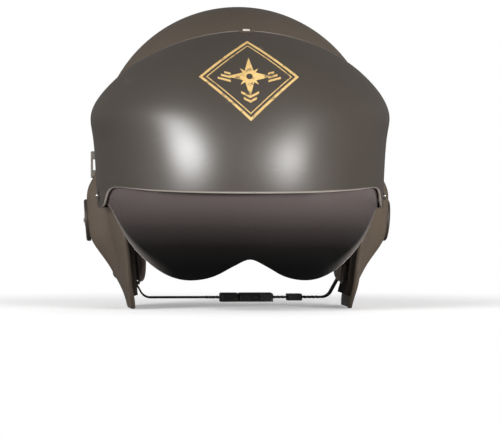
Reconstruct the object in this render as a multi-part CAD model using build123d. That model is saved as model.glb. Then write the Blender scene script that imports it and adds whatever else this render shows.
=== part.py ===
from build123d import *
import math
import os

# Pilot flight helmet with a swinging dark visor.
# Millimetres, +Z up, front towards -Y. The helmet stands on its two flap bottoms at z = 0,
# and the origin lies under the middle of the dome.

# Overrun of every cut, and the small clearances
cut_over = 5.0
soft_gap = 0.8
seat_gap = 0.1

# How much the sections of a curved face crowd towards its edges
edge_crowding_share = 0.07

# Step of a flat map used to find a surface's direction
map_step = 0.001

# Turn shares between which a side of the helmet is looked for
side_turn_shares = (0.25, 0.75)

# Rounding of screw and rivet heads, and length of a driver slot, as shares of the head
screw_rounding_share = 0.55
rivet_rounding_share = 0.8
driver_reach_share = 0.7

# Outer shell: dome above the equator, ear flaps below it
dome_half_width = 113.0
dome_front = 118.0
dome_rear = 136.0
dome_height = 115.0
equator_height = 128.0
shell_wall = 2.8
bulge_centre_y = 8.0
bulge_half_length = 44.0
bulge_ramp_share = 0.6

# Height below the equator as a share of its height, then shares of the dome's half width
# without and with the ear bulge, of its front and rear reach, and the corner fullness
flap_section_shares = (
    (0.000, 0.793, 0.793, 1.068, 0.780, 3.00),
    (0.055, 0.810, 0.810, 1.068, 0.792, 3.00),
    (0.127, 0.836, 0.842, 1.068, 0.808, 3.00),
    (0.197, 0.852, 0.884, 1.068, 0.822, 3.00),
    (0.270, 0.866, 0.932, 1.068, 0.838, 3.00),
    (0.344, 0.884, 0.992, 1.068, 0.856, 2.98),
    (0.420, 0.912, 1.047, 1.068, 0.876, 2.92),
    (0.547, 0.938, 1.073, 1.066, 0.914, 2.72),
    (0.672, 0.946, 1.084, 1.055, 0.950, 2.50),
    (0.770, 0.960, 1.066, 1.036, 0.976, 2.30),
    (0.840, 0.977, 1.024, 1.016, 0.990, 2.14),
    (0.920, 0.994, 1.003, 1.004, 0.998, 2.03),
    (1.000, 1.000, 1.000, 1.000, 1.000, 2.00),
    (1.080, 0.994, 1.003, 1.004, 0.998, 2.03),
)

# Edges of the shell on the right side: turn from the front as a share of a half turn,
# and height as a share of the equator's height
brow_edge_shares = (
    (0.000, 1.172), (0.078, 1.172), (0.144, 1.156), (0.194, 1.102), (0.228, 1.000),
    (0.247, 0.844), (0.261, 0.656), (0.272, 0.484), (0.278, 0.352), (0.286, 0.219),
    (0.300, 0.094), (0.322, 0.012), (0.340, -0.012),
)
nape_edge_shares = (
    (0.548, -0.012), (0.580, 0.018), (0.613, 0.094), (0.646, 0.195), (0.688, 0.289),
    (0.746, 0.344), (0.830, 0.359), (0.920, 0.355), (1.000, 0.352),
)

# Foam inside the shell
liner_thickness = 14.0
lining_thickness = 5.5
liner_front_shares = (
    (0.000, 1.215), (0.110, 1.208), (0.190, 1.150), (0.235, 1.040), (0.280, 0.930), (0.335, 0.865),
)
liner_rear_shares = (
    (0.600, 0.810), (0.670, 0.690), (0.750, 0.540), (0.840, 0.460), (0.920, 0.440), (1.000, 0.438),
)
lining_front_shares = (
    (0.300, 0.630), (0.290, 0.530), (0.290, 0.400), (0.297, 0.260), (0.312, 0.140), (0.340, 0.065),
)
lining_rear_shares = (
    (0.600, 0.630), (0.612, 0.530), (0.620, 0.400), (0.612, 0.260), (0.590, 0.150), (0.560, 0.065),
)

# Comfort pads: thickness at the edge and at the crown of each
pad_edge = 5.0
pad_crown = 10.0
ear_pad_edge = 6.0
ear_pad_crown = 13.0
ear_front_shares = (
    (0.355, 0.610), (0.325, 0.520), (0.315, 0.400), (0.318, 0.280), (0.330, 0.190), (0.350, 0.125),
)
ear_rear_shares = (
    (0.560, 0.610), (0.585, 0.520), (0.580, 0.420), (0.545, 0.320), (0.505, 0.230), (0.475, 0.150),
)
crown_pad_half_share = 0.30
brow_pad_turn_share = 0.24
brow_pad_height_shares = (1.245, 1.440)
nape_pad_turn_share = 0.20
nape_pad_height_shares = (0.500, 0.760)
temple_pad_turn_shares = (0.360, 0.640)
temple_pad_height_shares = (0.925, 1.220)

# Visor housing: a round front cover over the dome
housing_radius = 145.0
housing_centre_y = -20.0
housing_centre_height = 96.0
housing_half_width = 120.0
housing_fullness = 2.2
housing_wall = 2.5
housing_top = 216.0
rear_lip = 16.0
lip_clearance = 1.0
least_lip_share = 1.4

# Height as a share of the housing's top, and half width as a share of its widest
housing_width_shares = (
    (0.361, 0.951), (0.463, 0.959), (0.570, 0.970), (0.648, 0.987), (0.706, 1.000),
    (0.764, 0.967), (0.833, 0.880), (0.903, 0.752), (0.958, 0.610), (1.000, 0.450),
)

# Edges of the housing on the right side: turn as a share of a half turn, height as a share of its top
housing_front_shares = (
    (0.000, 0.414), (0.080, 0.416), (0.170, 0.424), (0.240, 0.434), (0.285, 0.439), (0.322, 0.431),
    (0.345, 0.407), (0.362, 0.384), (0.385, 0.372), (0.410, 0.369),
)
housing_rear_shares = (
    (0.000, 1.000), (0.112, 0.987), (0.213, 0.957), (0.288, 0.916), (0.338, 0.880), (0.372, 0.838),
    (0.402, 0.796), (0.432, 0.755), (0.458, 0.694), (0.472, 0.602), (0.477, 0.500), (0.474, 0.420),
    (0.460, 0.382), (0.440, 0.369),
)

# Visor: a shell of nearly round form about its two pivots
pivot_y = -50.0
pivot_height = 89.0
lens_half_width = 107.6
lens_radius = 109.0
lens_wall = 2.0
arm_end_share = 1.055

# Lower edge of the visor on the right side: shares of its half width and of its radius
lens_lower_shares = (
    (0.000, -0.449), (0.083, -0.480), (0.146, -0.514), (0.203, -0.547), (0.263, -0.573),
    (0.350, -0.593), (0.461, -0.594), (0.595, -0.549), (0.726, -0.452), (0.832, -0.335),
    (0.917, -0.188), (0.968, -0.092),
)
# Upper edge, hidden under the housing
lens_upper_shares = ((0.000, 0.140), (0.300, 0.140), (0.600, 0.134), (0.820, 0.116), (0.950, 0.088))
# Arm end: turn past the front as a share of a quarter turn, and half height in radians
arm_shares = ((0.950, 0.082), (1.000, 0.084), (1.035, 0.074))
arm_tip_share = 0.042

# Visor pivots
pivot_screw_diameter = 3.2
pivot_head_diameter = 5.8
pivot_head_height = 1.6
pivot_spacer_diameter = 12.0
pivot_washer_diameter = 10.0
pivot_head_lift = 0.4
swing_gap = 0.3
nut_width = 5.6
nut_height = 2.4
driver_slot_share = 0.22

# Ear discs and their rivets
disc_diameter = 34.0
disc_height = 2.6
disc_sink = 1.4
disc_turn_share = 0.523
disc_centre_height = 70.0
disc_groove_width = 2.2
disc_groove_depth = 0.8
disc_chamfer = 0.9
rivet_head_diameter = 5.0
rivet_head_height = 1.3
rivet_shank_diameter = 2.6
disc_rivet_length = 4.6

# Side brackets
bracket_height = 21.6
bracket_length = 15.0
bracket_reach = 119.3
bracket_foot_share = 0.8
bracket_turn_share = 0.520
bracket_centre_height = 115.0
bracket_corner = 1.4
bracket_slot_height = 9.0
bracket_slot_width = 2.4
bracket_screw_pitch = 15.6
bracket_screw_diameter = 2.4
bracket_screw_head = 4.2
bracket_screw_length = 8.6

# Crown clip on the rear edge of the housing
clip_width = 9.0
clip_length = 4.0
clip_height = 3.6
clip_rise = 1.6
clip_post = 4.5
clip_corner = 0.8

# Chin strap
strap_width = 15.0
strap_thickness = 1.5
strap_rivet_turn_share = 0.572
strap_rivet_height = 25.0
strap_rivet_head = 6.0
strap_end_over_rivet = 7.0
strap_hole_diameter = 4.6
strap_level = 6.5
strap_bend = 9.0
strap_clearance = 1.2
strap_tuck = 4.0
burr_thickness = 1.0

# Side release buckle and slider of the strap
buckle_width = 23.0
buckle_height = 7.0
socket_start = 2.0
socket_length = 28.0
plug_length = 15.0
buckle_wall = 1.6
buckle_corner = 1.8
prong_length = 18.0
prong_width = 4.0
prong_gap = 0.3
window_share = 0.4
slider_start = 42.0
slider_length = 12.0
slider_bar = 3.0


def smooth(table):
    """Function that runs through the rows of a table on a natural cubic curve."""
    xs = [row[0] for row in table]
    ys = [row[1] for row in table]
    n = len(xs)
    bend = [0.0] * n
    work = [0.0] * n
    for i in range(1, n - 1):
        left, both = xs[i] - xs[i - 1], xs[i + 1] - xs[i - 1]
        ratio = left / both
        pivot = ratio * bend[i - 1] + 2.0
        bend[i] = (ratio - 1.0) / pivot
        step = (ys[i + 1] - ys[i]) / (xs[i + 1] - xs[i]) - (ys[i] - ys[i - 1]) / left
        work[i] = (6.0 * step / both - ratio * work[i - 1]) / pivot
    bend[n - 1] = 0.0
    for i in range(n - 2, -1, -1):
        bend[i] = bend[i] * bend[i + 1] + work[i]

    def at(x):
        k = 0
        while k < n - 2 and x > xs[k + 1]:
            k += 1
        h = xs[k + 1] - xs[k]
        a, b = (xs[k + 1] - x) / h, (x - xs[k]) / h
        curve = (a ** 3 - a) * bend[k] + (b ** 3 - b) * bend[k + 1]
        return a * ys[k] + b * ys[k + 1] + curve * h * h / 6.0

    return at


def path(points):
    """Function of 0 to 1 that runs smoothly through points at an even pace."""
    marks = [0.0]
    for a, b in zip(points, points[1:]):
        marks.append(marks[-1] + math.dist(a, b))
    columns = [smooth([(mark, point[k]) for mark, point in zip(marks, points)]) for k in (0, 1)]
    return lambda t: tuple(column(t * marks[-1]) for column in columns)


def both_sides(points):
    """The points of the right half, after their mirror image over x = 0."""
    return [(-x, y) for x, y in reversed(points[1:])] + list(points)


def patch_between(first, last, left=None, right=None):
    """Map 0..1 by 0..1 to the area inside four edge curves."""
    def at(u, v):
        a, b = first(u), last(u)
        point = [(1 - v) * a[k] + v * b[k] for k in (0, 1)]
        for side, weight, end in ((left, 1 - u, 0.0), (right, u, 1.0)):
            if side:
                c, d, e = side(v), first(end), last(end)
                for k in (0, 1):
                    point[k] += weight * (c[k] - (1 - v) * d[k] - v * e[k])
        return point

    return at


def outward(surface, place):
    """Direction square to a surface, away from the head."""
    p, q = place
    along = Vector(*surface(p + map_step, q)) - Vector(*surface(p - map_step, q))
    aside = Vector(*surface(p, q + map_step)) - Vector(*surface(p, q - map_step))
    return along.cross(aside).normalized()


def offset_point(surface, place, depth):
    """Point below a surface by a depth, square to it."""
    return Vector(*surface(*place)) - outward(surface, place) * depth


def eased(i, count):
    """Even steps from 0 to 1, drawn closer together towards both ends."""
    t = i / count
    return t - edge_crowding_share * math.sin(2 * math.pi * t)


def curved_face(point, columns, rows):
    """Smooth face through spline sections, each drawn through a row of points."""
    sections = []
    for j in range(rows + 1):
        row = [point(eased(i, columns), eased(j, rows)) for i in range(columns + 1)]
        sections.append(Wire([Edge.make_spline(row)]))
    return Shell.make_loft(sections).faces()[0]


def wrap(outer, inner):
    """Closed solid between two faces, with a ruled rim all round."""
    rims = []
    for edge in outer.outer_wire().edges():
        partner = min(inner.outer_wire().edges(), key=lambda e: (e.center() - edge.center()).length)
        rims.append(Face.make_surface_from_curves(edge, partner))
    return Solid(Shell([outer, inner, *rims]))


def layer(surface, patch, near, far, columns, rows, far_surface=None):
    """Closed solid between two depths under a surface, over a four-sided patch."""
    def face(depth, base):
        def point(u, v):
            value = depth(u, v) if callable(depth) else depth
            return offset_point(base, patch(u, v), value)
        return curved_face(point, columns, rows)

    return wrap(face(near, surface), face(far, far_surface or surface))


def crowned(edge, crown):
    """Depth that swells from the edge of a patch to its middle."""
    def depth(u, v):
        swell = (max(0.0, math.sin(math.pi * u) * math.sin(math.pi * v))) ** 0.5
        return edge + (crown - edge) * swell
    return depth


shell_columns = [smooth([(row[0], row[k]) for row in flap_section_shares]) for k in range(1, 6)]
housing_width_at = smooth(housing_width_shares)


def chart(turn, height):
    """Flat map place of a turn and height on the shell, given as shares."""
    z = height * equator_height
    if z > equator_height:
        r = math.acos((z - equator_height) / dome_height) / (math.pi / 2)
    else:
        r = 1 + (equator_height - z) / (dome_height * math.pi / 2)
    return r * math.sin(turn * math.pi), -r * math.cos(turn * math.pi)


def shell_section(turn, height, bulge=1.0):
    """Point of the shell's outside at a turn in radians and a height."""
    if height >= equator_height:
        k = math.sqrt(max(0.0, 1 - ((height - equator_height) / dome_height) ** 2))
        shares = (1.0, 1.0, 1.0, 1.0, 2.0)
    else:
        k = 1.0
        shares = [column(height / equator_height) for column in shell_columns]
    plain, full, front, rear, fullness = shares
    s, c = math.sin(turn), -math.cos(turn)
    reach = dome_front * front if c < 0 else dome_rear * rear
    width = dome_half_width * plain
    r = k / ((abs(s) / width) ** fullness + (abs(c) / reach) ** fullness) ** (1 / fullness)
    x, y = r * s, r * c
    near = (1 - abs(y - bulge_centre_y) / bulge_half_length) / bulge_ramp_share
    near = min(1.0, max(0.0, near))
    out = bulge * (full - plain) * dome_half_width * near * near * (3 - 2 * near)
    return x + math.copysign(out, x), y, height


def shell_point(p, q, bulge=1.0):
    """Point of the shell's outside at a place of the flat map."""
    r = math.hypot(p, q)
    turn = math.atan2(p, -q)
    if r < 1:
        k = math.sin(r * math.pi / 2)
        reach = dome_front if q < 0 else dome_rear
        flat = 1 / math.hypot(math.sin(turn) / dome_half_width, math.cos(turn) / reach)
        z = equator_height + dome_height * math.cos(r * math.pi / 2)
        return k * flat * math.sin(turn), -k * flat * math.cos(turn), z
    return shell_section(turn, equator_height - (r - 1) * dome_height * math.pi / 2, bulge)


def plain_shell_point(p, q):
    """The shell's outside without its ear bulges."""
    return shell_point(p, q, bulge=0.0)


def housing_point(turn, height):
    """Point of the housing's outside at a turn and height given as shares."""
    z = height * housing_top
    width = housing_half_width * housing_width_at(height)
    reach = math.sqrt(housing_radius ** 2 - (z - housing_centre_height) ** 2)
    s, c = math.sin(turn * math.pi), math.cos(turn * math.pi)
    r = ((abs(s) / width) ** housing_fullness + (abs(c) / reach) ** housing_fullness)
    r = r ** (-1 / housing_fullness)
    return r * s, housing_centre_y - r * c, z


def lens_point(s, h):
    """Point of the visor's outside, by its angles aside and up from straight ahead."""
    angle = math.hypot(s, h)
    side = math.sin(angle) / angle if angle > 0 else 1.0
    return (
        lens_half_width * side * s,
        pivot_y - lens_radius * math.cos(angle),
        pivot_height + lens_radius * side * h,
    )


def shell_patch(front, rear):
    """Patch over the dome from one side to the other, between a front and a rear edge."""
    first = path(both_sides([chart(*point) for point in front]))
    last = path(both_sides([chart(*point) for point in reversed(rear)]))

    def foot(v):
        return chart(*[front[-1][k] + (rear[0][k] - front[-1][k]) * v for k in (0, 1)])

    def left_foot(v):
        p, q = foot(v)
        return -p, q

    return patch_between(first, last, left=left_foot, right=foot)


def side_patch(front, rear):
    """Patch on the right side of the shell between a front and a rear edge."""
    first = path([chart(*point) for point in front])
    last = path([chart(*point) for point in rear])

    def level(row):
        return lambda v: chart(front[row][0] + (rear[row][0] - front[row][0]) * v, front[row][1])

    return patch_between(first, last, left=level(0), right=level(-1))


def band_patch(low_turn, high_turn, low_height, high_height):
    """Patch of the shell between two turns and two heights."""
    return lambda u, v: chart(
        low_turn + (high_turn - low_turn) * u, high_height + (low_height - high_height) * v
    )


def seat(turn, height, depth=0.0):
    """Plane on the shell's outside, facing outwards, at a turn share and a height."""
    place = chart(turn, height / equator_height)
    return Plane(origin=offset_point(shell_point, place, depth), z_dir=outward(shell_point, place))


def pair(nodes, name, solid):
    """Keep a piece as the right one and its mirror image as the left one."""
    nodes[name + "_right"] = solid
    nodes[name + "_left"] = mirror(solid, about=Plane.YZ)


disc_seat = seat(disc_turn_share, disc_centre_height)
strap_seat = seat(strap_rivet_turn_share, strap_rivet_height)

# Middle of the strap's thickness on its rivet, where its hinge line passes
strap_depth = shell_wall + lining_thickness + 2 * soft_gap + strap_thickness / 2 + strap_clearance
strap_middle = seat(strap_rivet_turn_share, strap_rivet_height, strap_depth)
strap_y = strap_middle.origin.Y
bracket_y = shell_section(bracket_turn_share * math.pi, bracket_centre_height)[1]


def across(x, y, z):
    """Plane at a point, facing out to the right."""
    return Plane(origin=(x, y, z), x_dir=(0, 1, 0), z_dir=(1, 0, 0))


def side_x(surface_of_height, y, z):
    """Right hand x of a surface at a given y and height, by halving."""
    low, high = side_turn_shares
    for _ in range(30):
        turn = (low + high) / 2
        if surface_of_height(turn, z)[1] < y:
            low = turn
        else:
            high = turn
    return surface_of_height(turn, z)[0]


def housing_side(turn, z):
    """Point of the housing's outside at a turn share and a height."""
    return housing_point(turn, z / housing_top)


def shell_side(turn, z):
    """Point of the shell's outside at a turn share and a height."""
    return shell_section(turn * math.pi, z)


pivot_shell_x = side_x(shell_side, pivot_y, pivot_height)
pivot_housing_x = side_x(housing_side, pivot_y, pivot_height)


def make_outer_shell():
    """Dome and ear flaps in one, cut flat where the flaps stand on a table."""
    patch = shell_patch(brow_edge_shares, nape_edge_shares)
    shell = layer(shell_point, patch, 0.0, shell_wall, 48, 22)
    return shell - Box(
        2 * dome_rear, 2 * dome_rear, 2 * cut_over, align=(Align.CENTER, Align.CENTER, Align.MAX)
    )


def make_liner():
    patch = shell_patch(liner_front_shares, liner_rear_shares)
    near = shell_wall + soft_gap
    return layer(plain_shell_point, patch, near, near + liner_thickness, 28, 16)


def make_flap_lining():
    patch = side_patch(lining_front_shares, lining_rear_shares)
    near = shell_wall + soft_gap
    return layer(shell_point, patch, near, near + lining_thickness, 16, 14)


def make_ear_pad():
    patch = side_patch(ear_front_shares, ear_rear_shares)
    near = shell_wall + soft_gap + lining_thickness + soft_gap
    far = crowned(near + ear_pad_edge, near + ear_pad_crown)
    return layer(shell_point, patch, near, far, 14, 12, far_surface=plain_shell_point)


def make_inner_pad(patch):
    near = shell_wall + soft_gap + liner_thickness + soft_gap
    far = crowned(near + pad_edge, near + pad_crown)
    return layer(plain_shell_point, patch, near, far, 8, 6)


def lip_depth(place):
    """How far the housing's rear lip reaches in, to end just above the shell."""
    point, normal = Vector(*housing_point(*place)), outward(housing_point, place)
    low, high = 0.0, 2 * rear_lip
    for _ in range(24):
        middle = (low + high) / 2
        spot = point - normal * middle
        x, y, _z = shell_section(math.atan2(spot.X, -spot.Y), spot.Z)
        if math.hypot(spot.X, spot.Y) > math.hypot(x, y) + lip_clearance:
            low = middle
        else:
            high = middle
    return max(low, housing_wall * least_lip_share)


def make_housing():
    first = path(both_sides(housing_front_shares))
    last = path(both_sides(housing_rear_shares))
    patch = patch_between(first, last)

    def outer_point(u, v):
        return Vector(*housing_point(*patch(u, v)))

    def inner_point(u, v):
        length = (outer_point(u, 1) - outer_point(u, 0)).length
        return offset_point(housing_point, patch(u, v * (1 - housing_wall / length)), housing_wall)

    def lip_point(u, inner):
        place = patch(u, 1)
        normal = outward(housing_point, place)
        if not inner:
            return outer_point(u, 1) - normal * lip_depth(place)
        reach = lip_depth(place) - housing_wall
        return inner_point(u, 1) - normal * max(reach, 0.0)

    def lip_edge(inner, like):
        points = [lip_point(eased(i, columns), inner) for i in range(columns + 1)]
        if (points[0] - like @ 0).length > (points[-1] - like @ 0).length:
            points.reverse()
        return Edge.make_spline(points)

    columns, rows = 40, 8
    outer = curved_face(outer_point, columns, rows)
    inner = curved_face(inner_point, columns, rows)
    faces = [outer, inner]
    for edge in outer.outer_wire().edges():
        partner = min(inner.outer_wire().edges(), key=lambda e: (e.center() - edge.center()).length)
        if edge.distance_to(Vertex(*outer_point(0.5, 1))) > lip_clearance:
            faces.append(Face.make_surface_from_curves(edge, partner))
            continue
        faces.append(Face.make_surface_from_curves(edge, lip_edge(False, edge)))
        faces.append(Face.make_surface_from_curves(lip_edge(False, edge), lip_edge(True, edge)))
        faces.append(Face.make_surface_from_curves(lip_edge(True, partner), partner))
    for u in (0, 1):
        ends = [
            Edge.make_line(outer_point(u, 1), lip_point(u, False)),
            Edge.make_line(inner_point(u, 1), lip_point(u, True)),
        ]
        faces.append(Face.make_surface_from_curves(*ends))
    return Solid(Shell(faces))


def make_lens():
    lower = [(side * lens_half_width, rise * lens_radius) for side, rise in lens_lower_shares]
    upper = [(side * lens_half_width, rise * lens_radius) for side, rise in lens_upper_shares]

    def angles(x, z):
        s, h = x / lens_half_width, z / lens_radius
        reach = math.hypot(s, h)
        turn = math.asin(reach) / reach if reach > 0 else 1.0
        return s * turn, h * turn

    quarter = math.pi / 2
    arm = [(share * quarter, half) for share, half in arm_shares]
    tip = (arm_end_share * quarter, arm_tip_share)
    under = [angles(*point) for point in lower] + [(s, -h) for s, h in arm] + [(tip[0], -tip[1])]
    over = [angles(*point) for point in upper] + arm + [tip]
    patch = patch_between(path(both_sides(under)), path(both_sides(over)))
    return layer(lens_point, patch, 0.0, lens_wall, 40, 6)


def make_pivot(nodes, shell, housing):
    """Screw, washer, spacer and nut of the visor's right pivot, along X."""
    def disc(start, end, diameter, bore):
        plane = across(start, pivot_y, pivot_height)
        length = end - start
        low = (Align.CENTER, Align.CENTER, Align.MIN)
        ring = Cylinder(diameter / 2, length, align=low)
        return plane * (ring - Cylinder(bore / 2, length, align=low))

    bore = pivot_screw_diameter + 2 * seat_gap
    lens_in = lens_half_width - lens_wall - swing_gap
    lens_out = lens_half_width + swing_gap
    head_seat = pivot_housing_x + pivot_head_lift
    nut_end = pivot_shell_x - shell_wall - nut_height
    spacer = disc(pivot_shell_x - shell_wall, lens_in, pivot_spacer_diameter, bore) - shell
    pair(nodes, "pivot_spacer", spacer.solids().sort_by(Axis.X)[-1])
    washer = disc(lens_out, pivot_housing_x, pivot_washer_diameter, bore) - housing
    pair(nodes, "pivot_washer", washer.solids().sort_by(Axis.X)[0])
    low = (Align.CENTER, Align.CENTER, Align.MIN)
    nut = extrude(RegularPolygon(nut_width / 2, 6, major_radius=False), nut_height + pivot_head_lift)
    nut -= Cylinder(bore / 2, nut_height + 2 * cut_over, align=(Align.CENTER,) * 3)
    pair(nodes, "pivot_nut", across(nut_end, pivot_y, pivot_height) * nut - shell)
    head = Cylinder(pivot_head_diameter / 2, pivot_head_height, align=low)
    head = fillet(head.edges().group_by(Axis.Z)[-1], pivot_head_height * screw_rounding_share)
    slot_width = pivot_head_diameter * driver_slot_share
    top = Pos(0, 0, pivot_head_height)
    for turn in (0, 90):
        head -= top * Rot(0, 0, turn) * Box(
            pivot_head_diameter * driver_reach_share, slot_width, pivot_head_height
        )
    shank = Cylinder(
        pivot_screw_diameter / 2, head_seat - nut_end, align=(Align.CENTER, Align.CENTER, Align.MAX)
    )
    pair(nodes, "pivot_screw", across(head_seat, pivot_y, pivot_height) * (head + shank))


def make_ear_disc(shell):
    """Thin dished disc on the ear bulge, with a ring groove and a bore for its rivet."""
    radius = disc_diameter / 2
    whole = disc_height + disc_sink
    low = (Align.CENTER, Align.CENTER, Align.MIN)
    disc = Cylinder(radius, whole, align=low)
    disc = chamfer(disc.edges().group_by(Axis.Z)[-1], disc_chamfer)
    groove = radius - disc_chamfer - disc_groove_width
    ring = Cylinder(groove, disc_groove_depth, align=(Align.CENTER, Align.CENTER, Align.MAX))
    ring -= Cylinder(
        groove - disc_groove_width, disc_groove_depth, align=(Align.CENTER, Align.CENTER, Align.MAX)
    )
    disc -= Pos(0, 0, whole) * ring
    disc -= Cylinder(rivet_shank_diameter / 2 + seat_gap, whole, align=low)
    return disc_seat.offset(-disc_sink) * disc - shell


def make_rivet(place, height, head, length):
    """Round-headed rivet: head above a plane, shank below it."""
    low, high = (Align.CENTER, Align.CENTER, Align.MIN), (Align.CENTER, Align.CENTER, Align.MAX)
    top = Cylinder(head / 2, rivet_head_height, align=low)
    top = fillet(top.edges().group_by(Axis.Z)[-1], rivet_head_height * rivet_rounding_share)
    return place.offset(height) * (top + Cylinder(rivet_shank_diameter / 2, length, align=high))


def bracket_screw_places():
    """Planes of the bracket's two screws on its outer face."""
    return [
        across(bracket_reach, bracket_y, bracket_centre_height + side * bracket_screw_pitch / 2)
        for side in (-1, 1)
    ]


def make_bracket(shell):
    """Block with a strap slot that runs front to back, shaped to the shell behind."""
    foot = side_x(shell_side, bracket_y, bracket_centre_height) - shell_wall * bracket_foot_share
    depth = bracket_reach - foot
    block = Box(bracket_length, bracket_height, depth, align=(Align.CENTER, Align.CENTER, Align.MIN))
    block = fillet(block.edges().filter_by(Axis.Z), bracket_corner)
    block = chamfer(block.edges().group_by(Axis.Z)[-1], bracket_corner / 2)
    slot_centre = depth - bracket_slot_width - bracket_corner / 2
    block -= Pos(0, 0, slot_centre) * Box(
        bracket_length + cut_over, bracket_slot_height, bracket_slot_width
    )
    block = across(foot, bracket_y, bracket_centre_height) * block - shell
    for place in bracket_screw_places():
        block -= place.offset(-depth) * Cylinder(
            bracket_screw_diameter / 2 + seat_gap,
            depth + cut_over,
            align=(Align.CENTER, Align.CENTER, Align.MIN),
        )
        block -= place * countersink(seat_gap)
    return max(block.solids(), key=lambda solid: solid.volume)


def countersink(room):
    """Cone of a countersunk head, below its plane."""
    top, foot = bracket_screw_head / 2 + room, bracket_screw_diameter / 2 + room
    return Cone(foot, top, top - foot, align=(Align.CENTER, Align.CENTER, Align.MAX))


def make_bracket_screws():
    """The four countersunk screws of the two brackets, as one node."""
    screws = []
    for place in bracket_screw_places():
        shank = Cylinder(
            bracket_screw_diameter / 2, bracket_screw_length, align=(Align.CENTER, Align.CENTER, Align.MAX)
        )
        slot_width = bracket_screw_head * driver_slot_share
        slot = Box(bracket_screw_head, slot_width, slot_width)
        screw = place * (countersink(0) + shank - slot)
        screws += [screw, mirror(screw, about=Plane.YZ)]
    return Compound(screws)


def make_crown_clip(shell, housing):
    """Small clip that holds the housing's rear edge to the dome at the middle."""
    edge = Vector(*housing_point(0.0, 1.0))
    place = Plane(origin=edge, x_dir=(1, 0, 0), z_dir=outward(housing_point, (0.0, 1.0)))
    reach = lip_depth((0.0, 1.0)) + lip_clearance
    low = (Align.CENTER, Align.MIN, Align.MAX)
    post = Pos(0, 0, clip_rise) * Box(clip_width, clip_post, reach + clip_rise, align=low)
    tongue = Pos(0, -clip_length, clip_rise) * Box(
        clip_width, clip_length + clip_post, clip_height, align=low
    )
    clip = post + tongue
    clip = fillet(clip.edges().group_by(Axis.Z)[-1], clip_corner)
    clip = place * clip - housing - shell
    return max(clip.solids(), key=lambda solid: solid.volume)


def strap_line():
    """Places of the right strap half: its end over the rivet, and its turn under the flap."""
    hole = strap_middle.origin
    run = Vector(strap_middle.z_dir.Z, 0, -strap_middle.z_dir.X).normalized()
    return hole - run * strap_end_over_rivet, hole + run * ((hole.Z - strap_level) / -run.Z)


def make_strap(end_x):
    """Right hand webbing from its end on the flap lining to a given x under the chin."""
    top, turn = strap_line()
    line = FilletPolyline(
        (top.X, top.Z), (turn.X, strap_level), (end_x, strap_level), radius=strap_bend
    )
    band = trace(line, strap_thickness)
    plane = Plane(origin=(0, strap_y + strap_width / 2, 0), x_dir=(1, 0, 0), z_dir=(0, -1, 0))
    strap = extrude(plane * band, strap_width)
    drill = Cylinder(strap_hole_diameter / 2, 2 * cut_over, align=(Align.CENTER,) * 3)
    return strap - across(*strap_middle.origin) * drill


def make_socket():
    """Outer half of the side release buckle, open towards the plug."""
    frame = Pos(socket_start, strap_y, strap_level) * Box(
        socket_length, buckle_width, buckle_height, align=(Align.MIN, Align.CENTER, Align.CENTER)
    )
    frame = fillet(frame.edges().filter_by(Axis.Z), buckle_corner)
    frame = chamfer(frame.edges().group_by(Axis.Z)[-1], buckle_wall / 2)
    inside = buckle_width - 2 * buckle_wall
    cavity = prong_length + 2 * prong_gap
    middle = (Align.MIN, Align.CENTER, Align.CENTER)
    frame -= Pos(socket_start - cut_over, strap_y, strap_level) * Box(
        cavity + cut_over, inside, buckle_height - 2 * buckle_wall, align=middle
    )
    window = prong_length * window_share
    frame -= Pos(socket_start + cavity - window - buckle_wall, strap_y, strap_level) * Box(
        window, buckle_width + cut_over, buckle_height - 2 * buckle_wall, align=middle
    )
    pocket = socket_length - cavity - buckle_wall
    frame -= Pos(socket_start + socket_length - pocket, strap_y, strap_level) * Box(
        pocket + cut_over, strap_width + 2 * prong_gap, strap_thickness + 2 * prong_gap, align=middle
    )
    return frame


def make_plug():
    """Inner half of the buckle: a base with two springy prongs and a guide tongue."""
    thick = buckle_height - 2 * buckle_wall - 2 * prong_gap
    inside = buckle_width - 2 * buckle_wall - 2 * prong_gap
    base = Pos(socket_start - prong_gap, strap_y, strap_level) * Box(
        plug_length, buckle_width, buckle_height, align=(Align.MAX, Align.CENTER, Align.CENTER)
    )
    base = fillet(base.edges().filter_by(Axis.Z), buckle_corner)
    base = chamfer(base.edges().group_by(Axis.Z)[-1], buckle_wall / 2)
    middle = (Align.MIN, Align.CENTER, Align.CENTER)
    root = socket_start - prong_gap - buckle_wall
    plug = base
    for side in (-1, 1):
        centre = strap_y + side * (inside - prong_width) / 2
        plug += Pos(root, centre, strap_level) * Box(
            prong_length + buckle_wall, prong_width, thick, align=middle
        )
    tongue = prong_length * window_share
    plug += Pos(root, strap_y, strap_level) * Box(tongue + buckle_wall, prong_width, thick, align=middle)
    pocket = plug_length - 2 * buckle_wall
    plug -= Pos(socket_start - prong_gap - plug_length - cut_over, strap_y, strap_level) * Box(
        pocket + cut_over, strap_width + 2 * prong_gap, strap_thickness + 2 * prong_gap, align=middle
    )
    return plug


def make_slider():
    """Three-bar slider that takes up the strap's spare length."""
    height = strap_thickness + 2 * prong_gap + 2 * buckle_wall
    frame = Pos(slider_start, strap_y, strap_level) * Box(
        slider_length, strap_width + 2 * slider_bar, height, align=(Align.MIN, Align.CENTER, Align.CENTER)
    )
    frame = fillet(frame.edges().filter_by(Axis.Z), buckle_corner)
    frame -= Pos(slider_start - cut_over, strap_y, strap_level) * Box(
        slider_length + 2 * cut_over,
        strap_width + 2 * prong_gap,
        strap_thickness + 2 * prong_gap,
        align=(Align.MIN, Align.CENTER, Align.CENTER),
    )
    window = (slider_length - 3 * buckle_wall) / 2
    for k in (0, 1):
        start = slider_start + buckle_wall + k * (window + buckle_wall)
        frame -= Pos(start, strap_y, strap_level) * Box(
            window, strap_width, height + cut_over, align=(Align.MIN, Align.CENTER, Align.MIN)
        )
    return frame


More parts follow.
